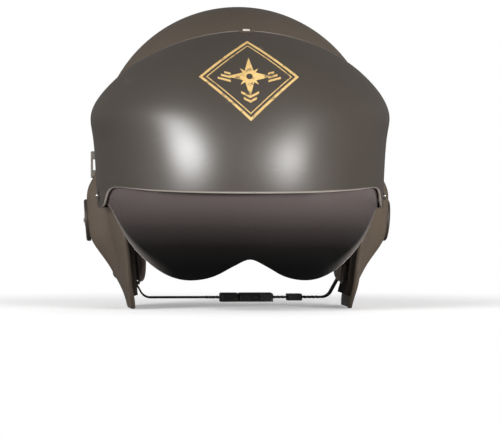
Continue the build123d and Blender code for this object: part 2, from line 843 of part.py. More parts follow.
def make_nodes():
    nodes = {}
    shell, housing, lens = make_outer_shell(), make_housing(), make_lens()
    pair(nodes, "ear_disc", make_ear_disc(shell))
    rivet = make_rivet(disc_seat, disc_height, rivet_head_diameter, disc_rivet_length)
    pair(nodes, "ear_disc_rivet", rivet)
    pair(nodes, "side_bracket", make_bracket(shell))
    nodes["bracket_screws"] = make_bracket_screws()
    nodes["crown_clip"] = make_crown_clip(shell, housing)
    make_pivot(nodes, shell, housing)

    burr_depth = strap_depth + strap_thickness / 2 + strap_clearance
    rivet_length = burr_depth + burr_thickness
    pair(nodes, "strap_rivet", make_rivet(strap_seat, 0.0, strap_rivet_head, rivet_length))
    burr = Cylinder(strap_rivet_head / 2, burr_thickness, align=(Align.CENTER, Align.CENTER, Align.MAX))
    burr -= Cylinder(rivet_shank_diameter / 2 + seat_gap, cut_over, align=(Align.CENTER,) * 3)
    pair(nodes, "strap_rivet_burr", strap_seat.offset(-burr_depth) * burr)
    nodes["strap_right"] = make_strap(socket_start + socket_length - strap_tuck)
    nodes["strap_left"] = mirror(make_strap(plug_length - socket_start - strap_tuck), about=Plane.YZ)
    nodes["buckle_socket"] = make_socket()
    nodes["buckle_plug"] = make_plug()
    nodes["strap_slider"] = make_slider()

    flap_lining = make_flap_lining()
    pivot_axis = across(0.0, pivot_y, pivot_height)
    pivot_bore = pivot_axis * Cylinder(pivot_screw_diameter / 2 + seat_gap, 2 * housing_half_width)
    rivet_drill = Cylinder(rivet_shank_diameter / 2 + seat_gap, 2 * (burr_depth + cut_over))
    disc_drill = Cylinder(rivet_shank_diameter / 2 + seat_gap, 2 * (shell_wall - seat_gap))
    shell -= pivot_bore
    for place in (strap_seat * rivet_drill, disc_seat * disc_drill):
        shell -= place
        shell -= mirror(place, about=Plane.YZ)
    for place in bracket_screw_places():
        drill = place * Cylinder(
            bracket_screw_diameter / 2 + seat_gap,
            bracket_screw_length + seat_gap,
            align=(Align.CENTER, Align.CENTER, Align.MAX),
        )
        shell -= drill
        shell -= mirror(drill, about=Plane.YZ)
    nodes["outer_shell"] = shell
    nodes["visor_housing"] = housing - pivot_bore
    nodes["visor_lens"] = lens - pivot_axis * Cylinder(
        pivot_screw_diameter / 2 + swing_gap, 2 * housing_half_width
    )
    pair(nodes, "flap_lining", flap_lining - strap_seat * rivet_drill)
    pair(nodes, "ear_pad", make_ear_pad())
    nodes["impact_liner"] = make_liner()
    half = crown_pad_half_share
    nodes["crown_pad"] = make_inner_pad(lambda u, v: (half * (2 * u - 1), half * (2 * v - 1)))
    turn = brow_pad_turn_share
    nodes["brow_pad"] = make_inner_pad(band_patch(-turn, turn, *brow_pad_height_shares))
    turn = nape_pad_turn_share
    nodes["nape_pad"] = make_inner_pad(band_patch(1 - turn, 1 + turn, *nape_pad_height_shares))
    temple = band_patch(*temple_pad_turn_shares, *temple_pad_height_shares)
    pair(nodes, "temple_pad", make_inner_pad(temple))
    return nodes


os.makedirs("parts", exist_ok=True)
for name, shape in make_nodes().items():
    export_step(shape, "parts/" + name + ".step")
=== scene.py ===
import functools
import math

import bmesh
import bpy
from mathutils import Matrix, Vector


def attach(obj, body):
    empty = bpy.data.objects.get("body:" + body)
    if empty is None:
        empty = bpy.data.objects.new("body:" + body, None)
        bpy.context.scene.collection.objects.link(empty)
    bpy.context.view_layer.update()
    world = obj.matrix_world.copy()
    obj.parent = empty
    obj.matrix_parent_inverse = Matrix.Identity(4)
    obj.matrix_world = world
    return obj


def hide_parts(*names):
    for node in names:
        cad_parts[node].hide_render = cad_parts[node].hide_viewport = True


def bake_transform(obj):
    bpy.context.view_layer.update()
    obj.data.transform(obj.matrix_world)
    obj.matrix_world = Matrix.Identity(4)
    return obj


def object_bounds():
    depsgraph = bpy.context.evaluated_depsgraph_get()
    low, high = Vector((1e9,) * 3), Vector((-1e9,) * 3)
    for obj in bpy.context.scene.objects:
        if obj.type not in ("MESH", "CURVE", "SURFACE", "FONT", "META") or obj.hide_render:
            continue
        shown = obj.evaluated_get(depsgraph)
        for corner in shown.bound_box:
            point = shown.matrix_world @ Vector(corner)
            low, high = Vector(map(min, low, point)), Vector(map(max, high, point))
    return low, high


# Pilot flight helmet with a swinging dark visor, dressed around its CAD model.
# The forms of the big shells repeat the source's own values, in millimetres.

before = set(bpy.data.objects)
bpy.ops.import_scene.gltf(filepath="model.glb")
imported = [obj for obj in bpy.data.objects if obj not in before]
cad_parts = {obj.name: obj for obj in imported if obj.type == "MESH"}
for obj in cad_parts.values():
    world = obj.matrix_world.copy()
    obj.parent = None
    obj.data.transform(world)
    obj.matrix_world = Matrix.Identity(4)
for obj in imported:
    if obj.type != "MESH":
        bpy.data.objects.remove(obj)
cad_low, cad_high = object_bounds()

mm = 0.001
soft_gap = 0.8

# Outer shell
dome_half_width, dome_front, dome_rear = 113.0, 118.0, 136.0
dome_height, equator_height, shell_wall = 115.0, 128.0, 2.8
bulge_centre_y, bulge_half_length, bulge_ramp_share = 8.0, 44.0, 0.6
flap_section_shares = (
    (0.000, 0.793, 0.793, 1.068, 0.780, 3.00),
    (0.055, 0.810, 0.810, 1.068, 0.792, 3.00),
    (0.127, 0.836, 0.842, 1.068, 0.808, 3.00),
    (0.197, 0.852, 0.884, 1.068, 0.822, 3.00),
    (0.270, 0.866, 0.932, 1.068, 0.838, 3.00),
    (0.344, 0.884, 0.992, 1.068, 0.856, 2.98),
    (0.420, 0.912, 1.047, 1.068, 0.876, 2.92),
    (0.547, 0.938, 1.073, 1.066, 0.914, 2.72),
    (0.672, 0.946, 1.084, 1.055, 0.950, 2.50),
    (0.770, 0.960, 1.066, 1.036, 0.976, 2.30),
    (0.840, 0.977, 1.024, 1.016, 0.990, 2.14),
    (0.920, 0.994, 1.003, 1.004, 0.998, 2.03),
    (1.000, 1.000, 1.000, 1.000, 1.000, 2.00),
    (1.080, 0.994, 1.003, 1.004, 0.998, 2.03),
)
brow_edge_shares = (
    (0.000, 1.172), (0.078, 1.172), (0.144, 1.156), (0.194, 1.102), (0.228, 1.000),
    (0.247, 0.844), (0.261, 0.656), (0.272, 0.484), (0.278, 0.352), (0.286, 0.219),
    (0.300, 0.094), (0.322, 0.012), (0.340, -0.012),
)
nape_edge_shares = (
    (0.548, -0.012), (0.580, 0.018), (0.613, 0.094), (0.646, 0.195), (0.688, 0.289),
    (0.746, 0.344), (0.830, 0.359), (0.920, 0.355), (1.000, 0.352),
)

# Foam and pads inside it
liner_thickness, lining_thickness = 14.0, 5.5
liner_front_shares = (
    (0.000, 1.215), (0.110, 1.208), (0.190, 1.150), (0.235, 1.040), (0.280, 0.930), (0.335, 0.865),
)
liner_rear_shares = (
    (0.600, 0.810), (0.670, 0.690), (0.750, 0.540), (0.840, 0.460), (0.920, 0.440), (1.000, 0.438),
)
lining_front_shares = (
    (0.300, 0.630), (0.290, 0.530), (0.290, 0.400), (0.297, 0.260), (0.312, 0.140), (0.340, 0.065),
)
lining_rear_shares = (
    (0.600, 0.630), (0.612, 0.530), (0.620, 0.400), (0.612, 0.260), (0.590, 0.150), (0.560, 0.065),
)
pad_edge, pad_crown, ear_pad_edge, ear_pad_crown = 5.0, 10.0, 6.0, 13.0
ear_front_shares = (
    (0.355, 0.610), (0.325, 0.520), (0.315, 0.400), (0.318, 0.280), (0.330, 0.190), (0.350, 0.125),
)
ear_rear_shares = (
    (0.560, 0.610), (0.585, 0.520), (0.580, 0.420), (0.545, 0.320), (0.505, 0.230), (0.475, 0.150),
)
crown_pad_half_share = 0.30
brow_pad_turn_share, brow_pad_height_shares = 0.24, (1.245, 1.440)
nape_pad_turn_share, nape_pad_height_shares = 0.20, (0.500, 0.760)
temple_pad_turn_shares, temple_pad_height_shares = (0.360, 0.640), (0.925, 1.220)

# Visor housing
housing_radius, housing_centre_y, housing_centre_height = 145.0, -20.0, 96.0
housing_half_width, housing_fullness, housing_wall, housing_top = 120.0, 2.2, 2.5, 216.0
rear_lip, lip_clearance, least_lip_share, lip_halvings = 16.0, 1.0, 1.4, 24
housing_width_shares = (
    (0.361, 0.951), (0.463, 0.959), (0.570, 0.970), (0.648, 0.987), (0.706, 1.000),
    (0.764, 0.967), (0.833, 0.880), (0.903, 0.752), (0.958, 0.610), (1.000, 0.450),
)
housing_front_shares = (
    (0.000, 0.414), (0.080, 0.416), (0.170, 0.424), (0.240, 0.434), (0.285, 0.439), (0.322, 0.431),
    (0.345, 0.407), (0.362, 0.384), (0.385, 0.372), (0.410, 0.369),
)
housing_rear_shares = (
    (0.000, 1.000), (0.112, 0.987), (0.213, 0.957), (0.288, 0.916), (0.338, 0.880), (0.372, 0.838),
    (0.402, 0.796), (0.432, 0.755), (0.458, 0.694), (0.472, 0.602), (0.477, 0.500), (0.474, 0.420),
    (0.460, 0.382), (0.440, 0.369),
)

# Visor
pivot_y, pivot_height = -50.0, 89.0
lens_half_width, lens_radius, lens_wall = 107.6, 109.0, 2.0
lens_lower_shares = (
    (0.000, -0.449), (0.083, -0.480), (0.146, -0.514), (0.203, -0.547), (0.263, -0.573),
    (0.350, -0.593), (0.461, -0.594), (0.595, -0.549), (0.726, -0.452), (0.832, -0.335),
    (0.917, -0.188), (0.968, -0.092),
)
lens_upper_shares = ((0.000, 0.140), (0.300, 0.140), (0.600, 0.134), (0.820, 0.116), (0.950, 0.088))
arm_shares = ((0.950, 0.082), (1.000, 0.084), (1.035, 0.074), (1.055, 0.042))


# Forms of the shells

def smooth(table):
    """Function that runs through the rows of a table on a natural cubic curve."""
    xs = [row[0] for row in table]
    ys = [row[1] for row in table]
    n = len(xs)
    bend = [0.0] * n
    work = [0.0] * n
    for i in range(1, n - 1):
        left, both = xs[i] - xs[i - 1], xs[i + 1] - xs[i - 1]
        ratio = left / both
        pivot = ratio * bend[i - 1] + 2.0
        bend[i] = (ratio - 1.0) / pivot
        step = (ys[i + 1] - ys[i]) / (xs[i + 1] - xs[i]) - (ys[i] - ys[i - 1]) / left
        work[i] = (6.0 * step / both - ratio * work[i - 1]) / pivot
    bend[n - 1] = 0.0
    for i in range(n - 2, -1, -1):
        bend[i] = bend[i] * bend[i + 1] + work[i]

    def at(x):
        k = 0
        while k < n - 2 and x > xs[k + 1]:
            k += 1
        h = xs[k + 1] - xs[k]
        a, b = (xs[k + 1] - x) / h, (x - xs[k]) / h
        curve = (a ** 3 - a) * bend[k] + (b ** 3 - b) * bend[k + 1]
        return a * ys[k] + b * ys[k + 1] + curve * h * h / 6.0

    return at


def path(points):
    """Function of 0 to 1 that runs smoothly through points at an even pace."""
    marks = [0.0]
    for a, b in zip(points, points[1:]):
        marks.append(marks[-1] + math.dist(a, b))
    columns = [smooth([(mark, point[k]) for mark, point in zip(marks, points)]) for k in (0, 1)]
    return lambda t: tuple(column(t * marks[-1]) for column in columns)


def both_sides(points):
    """The points of the right half, after their mirror image over x = 0."""
    return [(-x, y) for x, y in reversed(points[1:])] + list(points)


def patch_between(first, last, left=None, right=None):
    """Map 0..1 by 0..1 to the area inside four edge curves."""
    def at(u, v):
        a, b = first(u), last(u)
        point = [(1 - v) * a[k] + v * b[k] for k in (0, 1)]
        for side, weight, end in ((left, 1 - u, 0.0), (right, u, 1.0)):
            if side:
                c, d, e = side(v), first(end), last(end)
                for k in (0, 1):
                    point[k] += weight * (c[k] - (1 - v) * d[k] - v * e[k])
        return point

    return at


def outward(surface, place):
    """Direction square to a surface, away from the head."""
    step = 1e-3
    p, q = place
    along = Vector(surface(p + step, q)) - Vector(surface(p - step, q))
    aside = Vector(surface(p, q + step)) - Vector(surface(p, q - step))
    return along.cross(aside).normalized()


def below(surface, place, depth):
    """Point under a surface by a depth, square to it."""
    return Vector(surface(*place)) - outward(surface, place) * depth


shell_columns = [smooth([(row[0], row[k]) for row in flap_section_shares]) for k in range(1, 6)]
housing_width_at = smooth(housing_width_shares)


def chart(turn, height):
    """Flat map place of a turn and height on the shell, given as shares."""
    z = height * equator_height
    if z > equator_height:
        r = math.acos((z - equator_height) / dome_height) / (math.pi / 2)
    else:
        r = 1 + (equator_height - z) / (dome_height * math.pi / 2)
    return r * math.sin(turn * math.pi), -r * math.cos(turn * math.pi)


def shell_section(turn, height, bulge=1.0):
    """Point of the shell's outside at a turn in radians and a height."""
    if height >= equator_height:
        k = math.sqrt(max(0.0, 1 - ((height - equator_height) / dome_height) ** 2))
        shares = (1.0, 1.0, 1.0, 1.0, 2.0)
    else:
        k = 1.0
        shares = [column(height / equator_height) for column in shell_columns]
    plain, full, front, rear, fullness = shares
    s, c = math.sin(turn), -math.cos(turn)
    reach = dome_front * front if c < 0 else dome_rear * rear
    width = dome_half_width * plain
    r = k / ((abs(s) / width) ** fullness + (abs(c) / reach) ** fullness) ** (1 / fullness)
    x, y = r * s, r * c
    near = (1 - abs(y - bulge_centre_y) / bulge_half_length) / bulge_ramp_share
    near = min(1.0, max(0.0, near))
    out = bulge * (full - plain) * dome_half_width * near * near * (3 - 2 * near)
    return x + math.copysign(out, x), y, height


def shell_point(p, q, bulge=1.0):
    """Point of the shell's outside at a place of the flat map."""
    r = math.hypot(p, q)
    turn = math.atan2(p, -q)
    if r < 1:
        k = math.sin(r * math.pi / 2)
        reach = dome_front if q < 0 else dome_rear
        flat = 1 / math.hypot(math.sin(turn) / dome_half_width, math.cos(turn) / reach)
        z = equator_height + dome_height * math.cos(r * math.pi / 2)
        return k * flat * math.sin(turn), -k * flat * math.cos(turn), z
    return shell_section(turn, equator_height - (r - 1) * dome_height * math.pi / 2, bulge)


def plain_shell_point(p, q):
    """The shell's outside without its ear bulges."""
    return shell_point(p, q, bulge=0.0)


def housing_point(turn, height):
    """Point of the housing's outside at a turn and height given as shares."""
    z = height * housing_top
    width = housing_half_width * housing_width_at(height)
    reach = math.sqrt(housing_radius ** 2 - (z - housing_centre_height) ** 2)
    s, c = math.sin(turn * math.pi), math.cos(turn * math.pi)
    r = ((abs(s) / width) ** housing_fullness + (abs(c) / reach) ** housing_fullness)
    r = r ** (-1 / housing_fullness)
    return r * s, housing_centre_y - r * c, z


def lens_point(s, h):
    """Point of the visor's outside, by its angles aside and up from straight ahead."""
    angle = math.hypot(s, h)
    side = math.sin(angle) / angle if angle > 0 else 1.0
    return (
        lens_half_width * side * s,
        pivot_y - lens_radius * math.cos(angle),
        pivot_height + lens_radius * side * h,
    )


def shell_patch(front, rear):
    """Patch over the dome from one side to the other, between a front and a rear edge."""
    first = path(both_sides([chart(*point) for point in front]))
    last = path(both_sides([chart(*point) for point in reversed(rear)]))

    def foot(v):
        return chart(*[front[-1][k] + (rear[0][k] - front[-1][k]) * v for k in (0, 1)])

    def left_foot(v):
        p, q = foot(v)
        return -p, q

    return patch_between(first, last, left=left_foot, right=foot)


def side_patch(front, rear):
    """Patch on the right side of the shell between a front and a rear edge."""
    first = path([chart(*point) for point in front])
    last = path([chart(*point) for point in rear])

    def level(row):
        return lambda v: chart(front[row][0] + (rear[row][0] - front[row][0]) * v, front[row][1])

    return patch_between(first, last, left=level(0), right=level(-1))


def band_patch(low_turn, high_turn, low_height, high_height):
    """Patch of the shell between two turns and two heights."""
    return lambda u, v: chart(
        low_turn + (high_turn - low_turn) * u, high_height + (low_height - high_height) * v
    )


def lip_depth(place):
    """How far the housing's rear lip reaches in, to end just above the shell."""
    point, normal = Vector(housing_point(*place)), outward(housing_point, place)
    low, high = 0.0, 2 * rear_lip
    for _ in range(lip_halvings):
        middle = (low + high) / 2
        spot = point - normal * middle
        x, y, _z = shell_section(math.atan2(spot.x, -spot.y), spot.z)
        if math.hypot(spot.x, spot.y) > math.hypot(x, y) + lip_clearance:
            low = middle
        else:
            high = middle
    return max(low, housing_wall * least_lip_share)


# Meshes

rim_segments, rim_angle, corner_steps = 3, 50.0, 4


def new_piece(name, data, finish=None):
    """Object of a mesh, curve, lamp or camera at the origin, in the scene."""
    piece = bpy.data.objects.new(name, data)
    bpy.context.scene.collection.objects.link(piece)
    if finish:
        data.materials.append(finish)
    return piece


def mesh_of(made, name):
    """The mesh of a bmesh, which is freed."""
    mesh = bpy.data.meshes.new(name)
    made.to_mesh(mesh)
    made.free()
    return mesh


def keep(piece, body, *nodes, slot=None):
    """Say which nodes a piece stands for and the body that it rides on. The slot is not used."""
    if nodes:
        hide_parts(*nodes)
    if body:
        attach(piece, body)
    return piece


def shade(mesh, sharp=40.0):
    """Smooth shading, except at edges over an angle in degrees."""
    mesh.shade_smooth()
    mesh.set_sharp_from_angle(angle=math.radians(sharp))


def settle(piece, sharp=40.0):
    """Turn a piece's modifiers into plain mesh and shade it."""
    graph = bpy.context.evaluated_depsgraph_get()
    mesh = bpy.data.meshes.new_from_object(piece.evaluated_get(graph))
    piece.modifiers.clear()
    old, piece.data = piece.data, mesh
    bpy.data.meshes.remove(old)
    mesh.name = piece.name
    shade(mesh, sharp)
    return piece


def thick_sheet(name, outer, inner, grid, finish, rim=0.8, chart_of=None, cut_flat=False,
                edge_share=1.0, clamped=False):
    """Closed sheet between two surfaces of 0..1 by 0..1, with rounded rims.

    Its first UV map is 0..1 by 0..1, or what chart_of says. The second one, Edges, has the share of
    the way from the first edge to the one at edge_share.
    """
    columns, rows = grid
    made = bmesh.new()
    chart_layer = made.loops.layers.uv.new("UVMap")
    edge_layer = made.loops.layers.uv.new("Edges")
    grids, places, shares = [], {}, {}
    for side, surface in enumerate((outer, inner)):
        grid = []
        for j in range(rows + 1):
            for i in range(columns + 1):
                u, v = i / columns, j / rows
                spot = made.verts.new(Vector(surface(u, v)) * mm)
                places[spot] = chart_of(u, v, side) if chart_of else (u, v)
                shares[spot] = (u, v / edge_share)
                grid.append(spot)
        grids.append(grid)

    def at(side, i, j):
        return grids[side][j * (columns + 1) + i]

    for side in (0, 1):
        for j in range(rows):
            for i in range(columns):
                corners = ((i, j), (i + 1, j), (i + 1, j + 1), (i, j + 1))
                made.faces.new([at(side, *corner) for corner in corners])
    for i in range(columns):
        for j in (0, rows):
            made.faces.new([at(0, i, j), at(0, i + 1, j), at(1, i + 1, j), at(1, i, j)])
    for j in range(rows):
        for i in (0, columns):
            made.faces.new([at(0, i, j), at(0, i, j + 1), at(1, i, j + 1), at(1, i, j)])
    for face in made.faces:
        for loop in face.loops:
            loop[chart_layer].uv = places[loop.vert]
            loop[edge_layer].uv = shares[loop.vert]
    if cut_flat:
        parts = made.verts[:] + made.edges[:] + made.faces[:]
        bmesh.ops.bisect_plane(made, geom=parts, plane_co=(0, 0, 0), plane_no=(0, 0, 1), clear_inner=True)
        bmesh.ops.holes_fill(made, edges=[edge for edge in made.edges if edge.is_boundary])
    bmesh.ops.recalc_face_normals(made, faces=made.faces)
    piece = new_piece(name, mesh_of(made, name), finish)
    if rim:
        bevel = piece.modifiers.new("rim", "BEVEL")
        bevel.width, bevel.segments, bevel.limit_method = rim * mm, rim_segments, "ANGLE"
        bevel.angle_limit = math.radians(rim_angle)
        bevel.use_clamp_overlap = clamped
    return settle(piece)


def turned(name, profile, seat_matrix, finish, sides=48):
    """Turned piece: a closed profile of radius and height, in millimetres, spun about its seat's Z."""
    made = bmesh.new()
    rings = []
    for radius, height in profile:
        if radius == 0:
            rings.append([made.verts.new(Vector((0, 0, height * mm)))] * sides)
            continue
        ring = []
        for k in range(sides):
            turn = 2 * math.pi * k / sides
            spot = Vector((radius * math.cos(turn), radius * math.sin(turn), height))
            ring.append(made.verts.new(spot * mm))
        rings.append(ring)
    for a, b in zip(rings, rings[1:] + rings[:1]):
        for k in range(sides):
            corners = [a[k], a[(k + 1) % sides], b[(k + 1) % sides], b[k]]
            unique = list(dict.fromkeys(corners))
            if len(unique) > 2:
                made.faces.new(unique)
    made.transform(seat_matrix)
    bmesh.ops.recalc_face_normals(made, faces=made.faces)
    mesh = mesh_of(made, name)
    shade(mesh, 50.0)
    return new_piece(name, mesh, finish)


def rounded(points, radius):
    """A closed profile with its corners rounded, except where it meets the axis."""
    result = []
    count = len(points)
    for k, point in enumerate(points):
        here = Vector(point)
        back, ahead = Vector(points[k - 1]) - here, Vector(points[(k + 1) % count]) - here
        room = min(radius, back.length / 2, ahead.length / 2)
        if here.x == 0 or room < 0.01:
            result.append((here.x, here.y))
            continue
        start, end = here + back.normalized() * room, here + ahead.normalized() * room
        for j in range(corner_steps + 1):
            t = j / corner_steps
            spot = start * (1 - t) ** 2 + here * (2 * t * (1 - t)) + end * t ** 2
            result.append((spot.x, spot.y))
    return result


def seat_on(turn, height):
    """Matrix of a place on the shell's outside, its Z facing outwards, its Y as level as can be."""
    place = chart(turn, height / equator_height)
    normal = outward(shell_point, place)
    side = normal.cross(Vector((0, 0, 1))).normalized()
    matrix = Matrix((side, -normal.cross(side), normal)).transposed().to_4x4()
    matrix.translation = Vector(shell_point(*place)) * mm
    return matrix


def mirrored(piece, name):
    """Mirror image of a piece over x = 0, as a piece of its own."""
    made = bmesh.new()
    made.from_mesh(piece.data)
    made.transform(Matrix.Scale(-1, 4, (1, 0, 0)))
    bmesh.ops.reverse_faces(made, faces=made.faces)
    mesh = mesh_of(made, name)
    for finish in piece.data.materials:
        mesh.materials.append(finish)
    shade(mesh)
    return new_piece(name, mesh)


# Shader maths

def from_screen(red, green, blue, alpha=1.0):
    """A colour as seen on a screen, 0 to 255, as the linear numbers that a shader takes."""
    values = []
    for value in (red, green, blue):
        share = value / 255
        values.append(share / 12.92 if share <= 0.04045 else ((share + 0.055) / 1.055) ** 2.4)
    return (*values, alpha)


class Signal:
    """A number in a shader. Python's operators on it add Math nodes."""

    def __init__(self, finish, socket):
        self.finish, self.socket = finish, socket

    def math(self, operation, *others):
        return self.finish.maths(operation, self, *others)

    def __add__(self, other):
        return self.math("ADD", other)

    def __sub__(self, other):
        return self.math("SUBTRACT", other)

    def __rsub__(self, other):
        return self.finish.maths("SUBTRACT", other, self)

    def __mul__(self, other):
        return self.math("MULTIPLY", other)

    def __truediv__(self, other):
        return self.math("DIVIDE", other)

    def __pow__(self, other):
        return self.math("POWER", other)

    def __abs__(self):
        return self.math("ABSOLUTE")

    __radd__ = __add__
    __rmul__ = __mul__

    def least(self, other):
        return self.math("MINIMUM", other)

    def most(self, other):
        return self.math("MAXIMUM", other)

    def between(self, low, high):
        """0 below low, 1 above high, and a smooth rise in between."""
        span = self.finish.node(
            "MapRange", {"interpolation_type": "SMOOTHSTEP"},
            {"Value": self, "From Min": low, "From Max": high},
        )
        return Signal(self.finish, span.outputs["Result"])


class Finish:
    """One material and the nodes that make it."""

    def __init__(self, name):
        self.material = bpy.data.materials.new(name)
        self.material.use_nodes = True
        self.tree = self.material.node_tree
        self.tree.nodes.clear()
        self.place = self.node("TexCoord").outputs["Object"]

    def node(self, kind, settings=None, values=None):
        """A node of a type, with its settings and then the values or links of its sockets."""
        made = self.tree.nodes.new("ShaderNode" + kind)
        for key, value in (settings or {}).items():
            if key == "stops":
                stops = made.color_ramp.elements
                while len(stops) < len(value):
                    stops.new(0.5)
                for stop, (position, colour) in zip(stops, value):
                    stop.position, stop.color = position, from_screen(*colour)
            else:
                setattr(made, key, value)
        for key, value in (values or {}).items():
            if isinstance(value, Signal):
                value = value.socket
            if isinstance(value, bpy.types.NodeSocket):
                self.tree.links.new(value, made.inputs[key])
            else:
                made.inputs[key].default_value = value
        return made

    def maths(self, operation, *values):
        made = self.node("Math", {"operation": operation}, dict(enumerate(values)))
        return Signal(self, made.outputs[0])

    def noise(self, scale, detail=3.0, roughness=0.55, place=None):
        made = self.node(
            "TexNoise", None,
            {"Vector": place or self.place, "Scale": scale, "Detail": detail, "Roughness": roughness},
        )
        return Signal(self, made.outputs["Fac"])

    def cells(self, scale, feature="F1"):
        made = self.node("TexVoronoi", {"feature": feature}, {"Vector": self.place, "Scale": scale})
        return Signal(self, made.outputs["Distance"])

    def axes(self, chart=None):
        """The three numbers of a place on the object, or on one of its UV maps."""
        place = self.node("UVMap", {"uv_map": chart}).outputs[0] if chart else self.place
        made = self.node("SeparateXYZ", None, {0: place})
        return [Signal(self, made.outputs[k]) for k in range(3)]

    def stretched(self, *factors):
        """Places stretched by three factors, for grain that runs one way."""
        return self.node("VectorMath", {"operation": "MULTIPLY"}, {0: self.place, 1: factors}).outputs[0]

    def mix(self, factor, *colours):
        """Colour between two, each given by a socket or as seen on a screen."""
        first, second = (from_screen(*c) if isinstance(c, tuple) else c for c in colours)
        return self.node("Mix", {"data_type": "RGBA"}, {0: factor, 6: first, 7: second}).outputs[2]

    def bump(self, height, distance, strength=1.0, before=None):
        values = {"Height": height, "Distance": distance, "Strength": strength}
        if before:
            values["Normal"] = before
        return self.node("Bump", None, values).outputs["Normal"]

    def done(self, **sockets):
        """End the tree with a Principled shader."""
        values = {key.replace("_", " "): value for key, value in sockets.items()}
        shader = self.node("BsdfPrincipled", None, values)
        self.node("OutputMaterial", None, {"Surface": shader.outputs[0]})
        return self.material


# Finishes

# Middle, dark and light shade of the two plastics, as seen on a screen
shell_shades = (74, 64, 54), (66, 57, 48), (82, 72, 62)
housing_shades = (56, 50, 44), (50, 44, 39), (63, 57, 51)
badge_softness = 0.012


def moulded_plastic(name, colour, dark, light, rough, grain=0.00002):
    """Satin moulded plastic: faint mottling, a fine texture and a few handling marks."""
    f = Finish(name)
    cloud = f.noise(14.0, 4.0)
    fine = f.noise(900.0, 2.0)
    marks = f.noise(70.0, 6.0, 0.7, f.stretched(1.0, 1.0, 3.0)).between(0.60, 0.72)
    tint = f.mix(cloud, dark, light)
    tint = f.mix(0.55, tint, colour)
    tint = f.mix(marks * 0.10, tint, (150, 142, 132))
    roughness = rough + (cloud - 0.5) * 0.10 + marks * 0.06 + (fine - 0.5) * 0.06
    normal = f.bump(fine, grain, 0.6)
    normal = f.bump(f.noise(42.0, 2.0), 0.00025, 0.12, normal)
    return f, tint, roughness, normal


def make_shell_plastic():
    """The dome's and flaps' plastic."""
    f, tint, roughness, normal = moulded_plastic("shell_plastic", *shell_shades, 0.46)
    return f.done(Base_Color=tint, Roughness=roughness, Normal=normal, IOR=1.55)


def make_housing_plastic():
    """The housing's plastic, with a gold printed badge of a compass star on its brow, painted shade round
    the pivot screws and a painted highlight along its front and rear edges.
    """
    f, tint, roughness, normal = moulded_plastic("housing_plastic", *housing_shades, 0.37, 0.000008)
    across, up, _ = f.axes("UVMap")
    side = abs(across)

    def band(value, half):
        """1 where a value is within half of zero."""
        return 1 - abs(value).between(half - badge_softness, half + badge_softness)

    diamond = side * 0.92 + abs(up)
    ray = abs(up)
    star = (side * 3.6 + ray).least(side + ray * 3.6)
    star = 1 - star.between(0.395, 0.42)
    slant = (side + ray) * 0.707
    small_star = 1 - ((abs(side - ray) * 2.6) + slant).between(0.225, 0.245)
    hub = 1 - (side * side + up * up).between(0.0030, 0.0036)
    marks = [band(diamond - 0.80, 0.030), band(diamond - 0.70, 0.012)]
    marks += [star * (1 - hub), small_star * (1 - hub)]
    for row in range(3):
        level = up + 0.075 - row * 0.075 - (side - 0.40) * 0.30
        reach = side.between(0.33, 0.345) * (1 - side.between(0.56 - row * 0.06, 0.575 - row * 0.06))
        marks.append(band(level, 0.020) * reach)
    for row in range(2):
        level = up + 0.40 + row * 0.085 - side * 0.55
        marks.append(band(level, 0.022) * (1 - side.between(0.155 - row * 0.045, 0.167 - row * 0.045)))
    badge = functools.reduce(Signal.most, marks)
    worn = f.noise(160.0, 5.0, 0.7).between(0.36, 0.46)
    badge = badge * (0.35 + worn * 0.65)
    gold = f.mix(f.noise(60.0), (176, 142, 82), (206, 176, 116))
    tint = f.mix(badge, tint, gold)
    # Painted shade: a near-black ring round each pivot screw, for the shade in the hole that the screw sits
    # in.
    _x, back, rise_up = f.axes()
    back, rise_up = back - pivot_y * mm, rise_up - pivot_height * mm
    painted_screw_shade = 1 - ((back * back + rise_up * rise_up) ** 0.5).between(0.0055, 0.0062)
    tint = f.mix(painted_screw_shade * 0.92, tint, (14, 12, 10))
    # Painted highlight: a pale line along the housing's front and rear edges, where the rounded edge
    # catches the light.
    _u, from_front, _ = f.axes("Edges")
    edge = from_front.between(0.990, 0.996) * (1 - from_front.between(1.004, 1.010))
    edge = edge.most(1 - from_front.between(0.004, 0.016))
    tint = f.mix(edge * 0.75, tint, (166, 158, 148))
    return f.done(Base_Color=tint, Roughness=roughness + badge * 0.08, Normal=normal, IOR=1.80)


def make_clip_plastic():
    """The shell's plastic, with a small pale band where the clip crosses the housing's edge."""
    f, tint, roughness, normal = moulded_plastic("clip_plastic", *shell_shades, 0.46)
    aside, _y, up = f.axes()
    # A small pale band on the clip's top, where it crosses the housing's edge.
    stop = 1 - abs(aside).between(0.0024, 0.0028)
    stop = stop * up.between(0.2150, 0.2153) * (1 - up.between(0.2164, 0.2167))
    tint = f.mix(stop, tint, (200, 196, 188))
    return f.done(Base_Color=tint, Roughness=roughness, Normal=normal, IOR=1.48)


